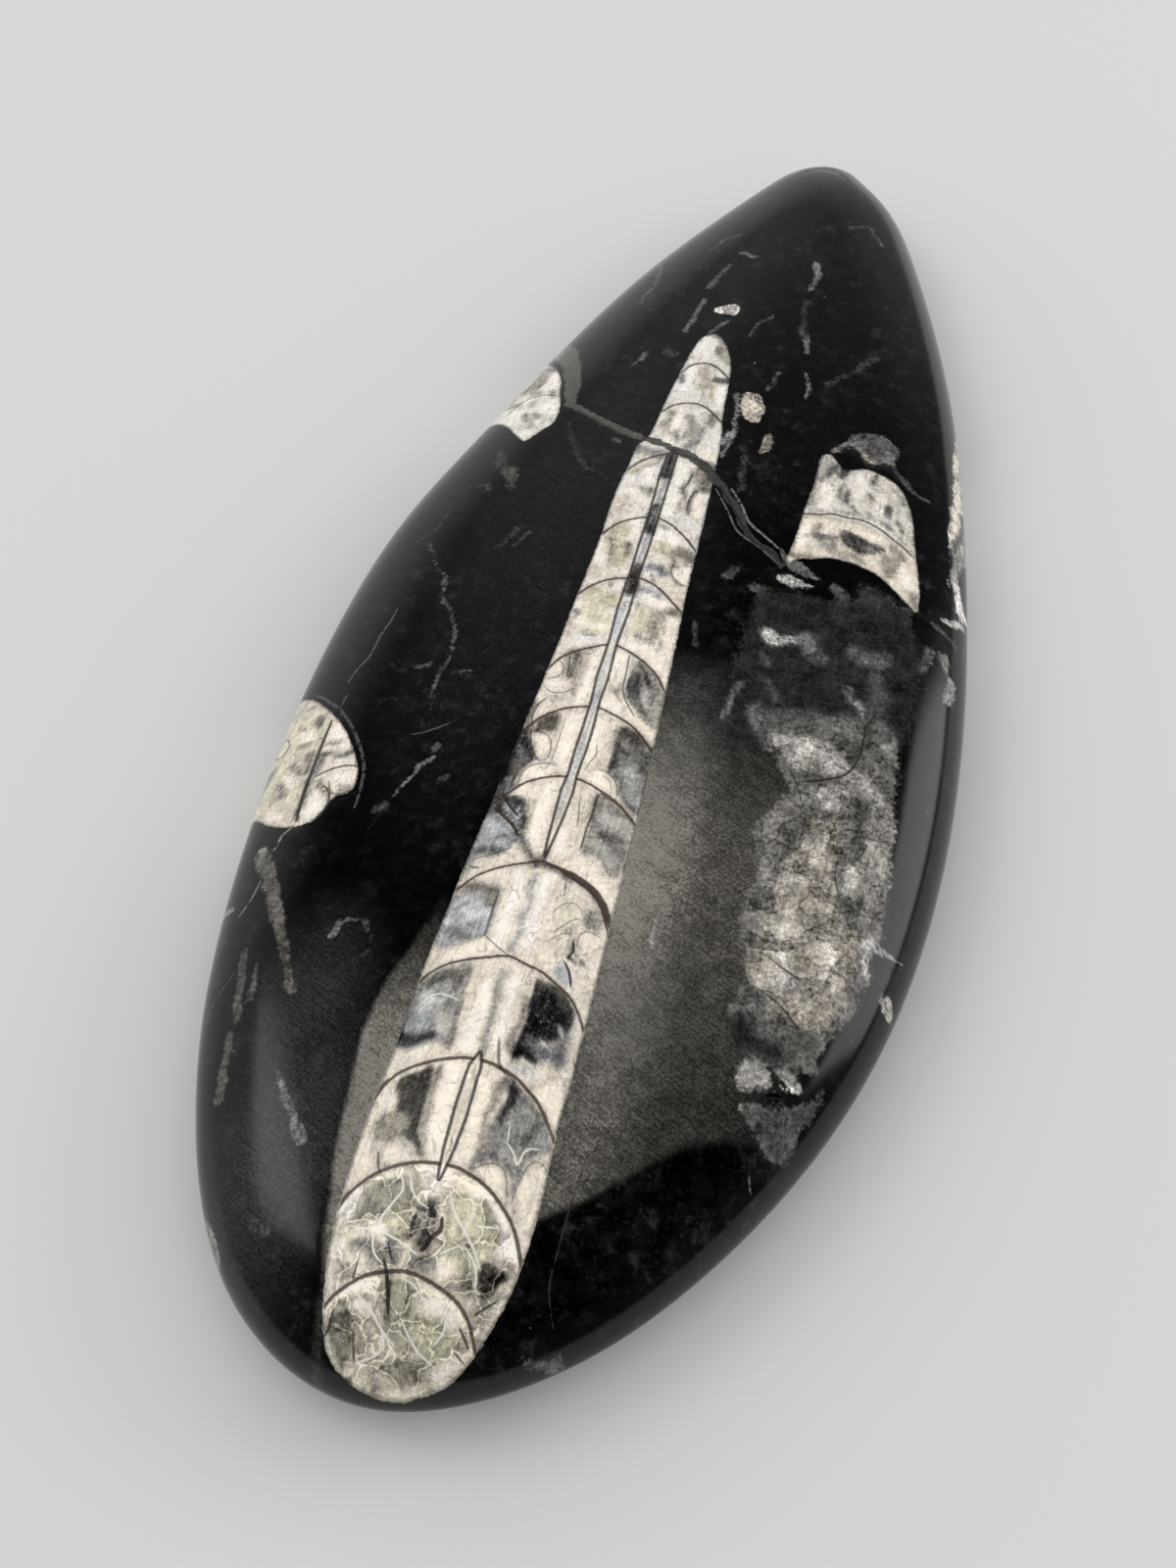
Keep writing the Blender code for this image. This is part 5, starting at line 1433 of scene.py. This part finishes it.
WALL_BROWN = linear((0.24, 0.19, 0.17))
TUBE_BROWN = linear((0.17, 0.15, 0.15))
HALO_BROWN = linear((0.50, 0.44, 0.39))
LINE_DARK = linear((0.15, 0.14, 0.13))
LINE_WHITE = linear((0.93, 0.92, 0.88))
# Greys of dull ground and haze: partly their own dullness, partly painted sheen.
DULL_AND_SHEEN_GREY = linear((0.57, 0.55, 0.515))
HAZE_AND_SHEEN_GREY = linear((0.34, 0.34, 0.345))
SAWN_GREY = linear((0.30, 0.295, 0.29))
LIMESTONE_TINT = (1.0, 0.99, 1.01)
COOL, PLAIN, CREAM, OLIVE = (0.93, 1.0, 1.04), (1.0, 1.0, 1.0), (1.11, 1.0, 0.84), (1.05, 1.0, 0.72)

# Brightness of the black limestone, and what its noises add.
BLACK = 0.0004
MIDDLE_GREY = 0.0025
FINE_GREY = 0.010
GRAIN_GREY = 0.020
SMUDGE_GREY = 0.011
SPECK_SCALE = 0.30     # pale specks: cells per millimetre, largest size, brightness
SPECK_SIZE = 0.055
SPECK_GREY = 0.30

# Edges that noise moves, in millimetres.
LINE_WOBBLE = 0.15
LINE_SOFT = 0.05
TUBE_WOBBLE = 0.14
WALL_WOBBLE = 0.16
SHELL_WOBBLE = {"fine": 0.22, "warp": 0.25}

# Cover of what is laid over the calcite.
TUBE_COVER = 0.88
WALL_COVER = 0.88
HALO_COVER = 0.22
WHITE_COVER = 0.85
VEIN_COVER = 0.93

# Chambers from this number on are wide and full of crystals.
WIDE_FROM = 12.0
WALLED = (0.5, 13.5)   # chamber numbers between which there are walls

# Roughness of the polish, and what dull ground, haze, calcite, noise and sawing add.
POLISH_ROUGH = 0.15
DULL_ROUGH = 0.38
HAZE_ROUGH = 0.14
CALCITE_ROUGH = 0.05
NOISE_ROUGH = 0.05
SAWN_ROUGH = 0.5
BUMP_STRENGTH = 0.5
BUMP_DISTANCE = 0.06 * MM
STONE_IOR = 1.40


def limestone_level(stone):
    """Brightness of the black limestone, with its grains, smudges and pale specks."""
    middle, fine, grain = stone["middle"], stone["fine"], stone["grain"]
    level = BLACK + MIDDLE_GREY * stone.rise(middle, 0.42, 0.68) + FINE_GREY * stone.rise(fine, 0.58, 0.74)
    level = level + GRAIN_GREY * stone.rise(grain, 0.66, 0.78) * stone.rise(middle, 0.40, 0.60)
    level = level + SMUDGE_GREY * stone.rise(stone["mottle"], 0.50, 0.66) * stone.rise(middle, 0.44, 0.60)
    level = level * stone.rise(stone["cloud"], 0.35, 0.65, 0.3, 1.8)
    away, chance = stone.cells(SPECK_SCALE, stone.place)
    size = stone.math("POWER", chance, 8.0) * SPECK_SIZE
    return level + SPECK_GREY * stone.rise(away - size, 0.010, -0.010)


def limestone_colour(stone):
    """Black limestone, paler where it is ground dull or hazy, partly by painted sheen."""
    colour = stone.tinted(limestone_level(stone), LIMESTONE_TINT)
    left, right, haze_and_sheen = stone.field("dull_and_sheen")
    scratch = stone["scratch"]
    glitter = stone.rise(stone["sand"], 0.40, 0.68, 0.45, 1.9)
    dull_and_sheen = stone.most(left, right) * stone.rise(scratch, 0.30, 0.70, 0.6, 1.2) * glitter
    dull_and_sheen = dull_and_sheen * stone.rise(stone["middle"], 0.35, 0.65, 0.75, 1.2)
    # Grey of the dull ground and the haze: partly their own dullness, partly painted sheen.
    colour = stone.blend(dull_and_sheen, colour, DULL_AND_SHEEN_GREY)
    return stone.blend(haze_and_sheen * stone.rise(scratch, 0.30, 0.70, 0.35, 0.9) * glitter, colour, HAZE_AND_SHEEN_GREY)


def hue_tint(stone, hue):
    """Tint of a hue number: -1 bluish, 0 grey, 1 cream, 2 olive."""
    tint = stone.blend(hue + 1.0, COOL, PLAIN)
    tint = stone.blend(hue, tint, CREAM)
    return stone.blend(hue - 1.0, tint, OLIVE)


def marks_colour(stone, colour):
    """Soft marks and crystals over the limestone."""
    tone, hue, cover = stone.field("marks")
    ragged = cover + stone.mixed(fine=1.1, mottle=0.9)
    share = stone.rise(ragged, 0.24, 0.78) * stone.rise(cover, 0.02, 0.25)
    broken = stone.mixed(mottle=1.8, fine=1.6, grain=1.1, fibre=0.6)
    crystals = stone.rise(cover, 0.80, 0.89) * stone.rise(tone, 0.26, 0.34)
    faces = (stone.facets - 0.5) * 0.44 - stone.rise(stone.seams, 0.06, 0.01) * 0.24
    bright = tone * (1.08 + broken + crystals * faces) + stone.rise(stone["sand"], 0.62, 0.78) * 0.12
    return stone.blend(share, colour, stone.tinted(stone.light(bright), hue_tint(stone, hue)))


def thin_lines(stone, kind, count):
    """Cover and strength of all the thin lines of one kind."""
    covers, strengths = [], []
    for index in range(count):
        away, half, mask = stone.field(f"{kind}_{index}")
        away = away + stone.mixed(fine=LINE_WOBBLE)
        here = stone.rise(half - abs(away), -LINE_SOFT, LINE_SOFT) * stone.rise(mask, 0.0, 0.35)
        covers.append(here)
        strengths.append(here * mask)
    return reduce(stone.most, covers), reduce(stone.most, strengths)


def calcite_tone(stone, number):
    """The calcite's painted tones, broken up into clouds, grains, fibres and, in the wide chambers,
    crystals.
    """
    tone, hue, depth = stone.field("shades")
    spread = 0.12 + 0.88 * tone * (1.0 - tone)
    value = tone + spread * stone.mixed(mottle=1.9, fine=1.7, fibre=1.1, grain=1.1)
    growth = stone.rise(abs(stone["growth"] - 0.5), 0.016, 0.004) * stone.rise(tone, 0.62, 0.80)
    sparkle = stone.rise(stone["fine"], 0.60, 0.70) * stone.rise(tone, 0.30, 0.16)
    value = value - growth * 0.16 + sparkle * 0.25

    wide = stone.rise(number, WIDE_FROM - 0.02, WIDE_FROM + 0.02)
    faces = (stone.facets - 0.5) * 0.24 - stone.rise(stone.seams, 0.22, 0.06) * 0.10
    faces = faces + stone.rise(stone.seams, 0.034, 0.008) * 0.26
    value = value + wide * stone.rise(depth, 0.2, 1.2) * faces
    lining = stone.rise(abs(stone.math("FRACT", number) - 0.05), 0.10, 0.02)
    value = value + lining * stone.rise(number, WIDE_FROM - 0.02, WIDE_FROM) * 0.14
    seam = stone.rise(depth + stone.mixed(fine=0.3), 0.34, 0.06)
    return stone.least(value * (1.0 - seam * 0.28), 1.0), hue, depth


def tube_walls(stone, across, half, depth):
    """Share of the dark walls along both sides of the tube."""
    edge = abs(abs(across) - half + stone.mixed(fine=TUBE_WOBBLE))
    return stone.rise(edge, 0.26, 0.08) * stone.rise(half, -0.1, 0.0) * stone.rise(depth, 0.0, 0.2)


def chamber_walls(stone, number, length, depth, wall_half, clear):
    """Shares of the chamber walls and of the brown halo along them."""
    first, last = WALLED
    there = stone.rise(number, first, first + 0.1) * stone.rise(number, last, last - 0.1)
    there = there * stone.rise(depth, 0.0, 0.2) * clear
    away = abs(stone.math("FRACT", number + 0.5) - 0.5) * length + stone.mixed(fine=WALL_WOBBLE)
    wall = stone.rise(away - wall_half, 0.07, -0.05) * there
    wall = wall * stone.rise(stone["grain"], 0.24, 0.40, 0.6, 1.0)
    return wall, stone.rise(away, 0.55, 0.15) * there


def shell_colour(stone, white):
    """The cut-open fossils' colour, where they are, and where their walls are."""
    depth, number, length = stone.field("shell")
    across, tube_half, wall_half = stone.field("tube")
    value, hue, any_depth = calcite_tone(stone, number)
    colour = stone.tinted(stone.light(value), hue_tint(stone, hue))

    tube = tube_walls(stone, across, tube_half, depth)
    colour = stone.blend(tube * TUBE_COVER, colour, TUBE_BROWN)
    beside_tube = stone.rise(tube_half * 0.8 - abs(across), 0.05, -0.05)
    wall, halo = chamber_walls(stone, number, length, depth, wall_half, beside_tube)
    colour = stone.blend(halo * HALO_COVER, colour, HALO_BROWN)
    colour = stone.blend(wall * WALL_COVER, colour, WALL_BROWN)
    colour = stone.blend(white * WHITE_COVER, colour, LINE_WHITE)
    inside = stone.rise(any_depth + stone.mixed(**SHELL_WOBBLE), -0.05, 0.05)
    return colour, inside, stone.most(wall, tube) * inside


def thread_colour(stone, colour, count):
    """Thin pale lines in the limestone, broken up by noise."""
    pale, strength = thin_lines(stone, "pale", count)
    broken = stone.rise(stone["fine"] + stone.mixed(middle=0.6), 0.34, 0.5)
    return stone.blend(pale * broken, colour, stone.tinted(stone.light(strength), PLAIN))


def vein_colour(stone, colour):
    """Grey veins that cross the stone and its fossils."""
    tone, hue, cover = stone.field("veins")
    share = stone.rise(cover + stone.mixed(fine=0.9, middle=0.5), 0.30, 0.70)
    level = stone.light(tone * (0.4 + stone["fine"] * 0.7 + stone["mottle"] * 0.5))
    return stone.blend(share * VEIN_COVER, colour, stone.tinted(level, hue_tint(stone, hue)))


def stone_surface(stone, inside, dents, sawn):
    """Roughness, and height of the small dents and scratches."""
    left, right, haze_and_sheen = stone.field("dull_and_sheen")
    dull = stone.most(left, right)
    rough = POLISH_ROUGH + dull * DULL_ROUGH + haze_and_sheen * HAZE_ROUGH + inside * CALCITE_ROUGH
    rough = rough + stone.mixed(middle=NOISE_ROUGH) + sawn * SAWN_ROUGH
    height = stone["scratch"] * (dull * 0.8 + haze_and_sheen * 0.25 + 0.02) + stone["grain"] * (dull * 0.4 + 0.01)
    return rough, height - dents * 0.25 + stone["saw"] * sawn * 0.9


def stone_material(counts):
    """Polished limestone with its fossils; counts says how many fields each kind of line took."""
    stone = Stone("polished_limestone")
    colour = marks_colour(stone, limestone_colour(stone))
    colour = thread_colour(stone, colour, counts["pale"])
    white, _ = thin_lines(stone, "white", counts["white"])
    shell, inside, walls = shell_colour(stone, white)
    colour = vein_colour(stone, stone.blend(inside, colour, shell))
    dark, strength = thin_lines(stone, "dark", counts["dark"])
    colour = stone.blend(strength, colour, LINE_DARK)
    sawn = Wire(stone, stone.node("ShaderNodeAttribute", attribute_name="sawn").outputs["Fac"])
    sawn_level = stone["saw"] * 0.6 + stone["grain"] * 0.4 + 0.5
    colour = stone.blend(sawn, colour, stone.tinted(sawn_level, SAWN_GREY))

    rough, height = stone_surface(stone, inside, stone.most(walls, dark), sawn)
    bump = stone.node("ShaderNodeBump",
                      {"Height": height, "Strength": BUMP_STRENGTH, "Distance": BUMP_DISTANCE})
    stone.put(stone.shader.inputs["Base Color"], colour)
    stone.put(stone.shader.inputs["Roughness"], rough)
    stone.put(stone.shader.inputs["Normal"], bump.outputs["Normal"])
    stone.shader.inputs["IOR"].default_value = STONE_IOR
    return stone.material


# ---------------------------------------------------------------- camera, light, floor and stone
CAMERA_PLACE = (0.03309, -0.14640, 0.16716)
CAMERA_TURNS = (("Z", 16.3), ("X", 38.0), ("Z", -2.0))
CAMERA_SENSOR = 36.0
CAMERA_LENS = 40.5
CAMERA_NEAREST = 0.01

SKY_ANGLE = 175
SKY_ENERGY = 2.35
SKY_FROM = (40, 80)    # heading and elevation
# Soft panels: name, heading, elevation, distance, size, glow.
PANELS = (
    ("left_panel", 86, 48, 1.2, (0.50, 0.46), 2.3),
    ("right_panel", -62, 20, 1.0, (0.66, 0.50), 2.5),
)
# The room's glow falls with height above the horizon, and grows towards one heading.
ROOM_HEADING = 42
ROOM_BY_HEIGHT = (0.30, 0.78, 0.70, 0.04)
ROOM_BY_HEADING = (0.2, 0.95, 0.10, 1.0)

FLOOR_REACH = 3.0
FLOOR_GREY = (0.70, 0.70, 0.692, 1.0)
FLOOR_ROUGH = 0.8


def show(name, data):
    """New object in the scene."""
    thing = bpy.data.objects.new(name, data)
    bpy.context.scene.collection.objects.link(thing)
    return thing


def direction(heading, elevation):
    """Unit vector; heading is in degrees to the left of +Y."""
    turn, rise = math.radians(heading), math.radians(elevation)
    return Vector((-math.sin(turn) * math.cos(rise), math.cos(turn) * math.cos(rise), math.sin(rise)))


def add_light(name, data, place):
    """Light that stands at a place and shines towards the stone."""
    light = show(name, data)
    light.matrix_world = Matrix.Translation(place) @ (-place).to_track_quat("-Z", "Y").to_matrix().to_4x4()
    return light


def add_panel(name, heading, elevation, distance, size, glow):
    """Soft panel that faces the stone; glow is its brightness."""
    data = bpy.data.lights.new(name, "AREA")
    data.shape = "RECTANGLE"
    data.size, data.size_y = size
    data.energy = glow * math.pi * size[0] * size[1]
    add_light(name, data, distance * direction(heading, elevation))


def make_camera():
    data = bpy.data.cameras.new("camera")
    data.sensor_fit = "VERTICAL"
    data.sensor_height = CAMERA_SENSOR
    data.lens = CAMERA_LENS
    data.clip_start = CAMERA_NEAREST
    place = Matrix.Translation(CAMERA_PLACE)
    for axis, degrees in CAMERA_TURNS:
        place = place @ Matrix.Rotation(math.radians(degrees), 4, axis)
    camera = show("camera", data)
    camera.matrix_world = place
    bpy.context.scene.camera = camera


def make_floor():
    mesh = bpy.data.meshes.new("floor")
    corners = [(x * FLOOR_REACH, y * FLOOR_REACH, 0.0) for x, y in ((-1, -1), (1, -1), (1, 1), (-1, 1))]
    mesh.from_pydata(corners, [], [(0, 1, 2, 3)])
    material = bpy.data.materials.new("floor_board")
    material.use_nodes = True
    shader = material.node_tree.nodes["Principled BSDF"]
    shader.inputs["Base Color"].default_value = FLOOR_GREY
    shader.inputs["Roughness"].default_value = FLOOR_ROUGH
    mesh.materials.append(material)
    show("floor", mesh)


def make_world():
    """Room light that the polish mirrors: fairly bright low down beyond the point, dim overhead and near
    by.
    """
    world = bpy.data.worlds.new("world")
    world.use_nodes = True
    board = Board(world.node_tree)
    place = board.node("ShaderNodeTexCoord").outputs["Generated"]
    height = board.parts(place)[2]
    towards = board.node("ShaderNodeVectorMath", {0: place, 1: direction(ROOM_HEADING, 0)},
                         operation="DOT_PRODUCT")
    glow = board.rise(height, *ROOM_BY_HEIGHT) * board.rise(towards.outputs["Value"], *ROOM_BY_HEADING)
    background = board.tree.nodes["Background"]
    board.put(background.inputs["Strength"], glow)
    background.inputs["Color"].default_value = (1.0, 1.0, 1.0, 1.0)
    bpy.context.scene.world = world


def make_lights():
    """A broad even sky that leaves no mirror image, and two soft panels that do."""
    make_world()
    sky = bpy.data.lights.new("sky", "SUN")
    sky.angle = math.radians(SKY_ANGLE)
    sky.energy = SKY_ENERGY
    add_light("sky", sky, direction(*SKY_FROM)).visible_glossy = False
    for settings in PANELS:
        add_panel(*settings)


def make_stone():
    mesh, counts = stone_mesh()
    mesh.materials.append(stone_material(counts))
    stone = show("fossil_stone", mesh)
    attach(stone, "root")
    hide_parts("fossil_slab")


make_camera()
make_floor()
make_lights()
make_stone()
bpy.context.scene.view_settings.view_transform = "Standard"
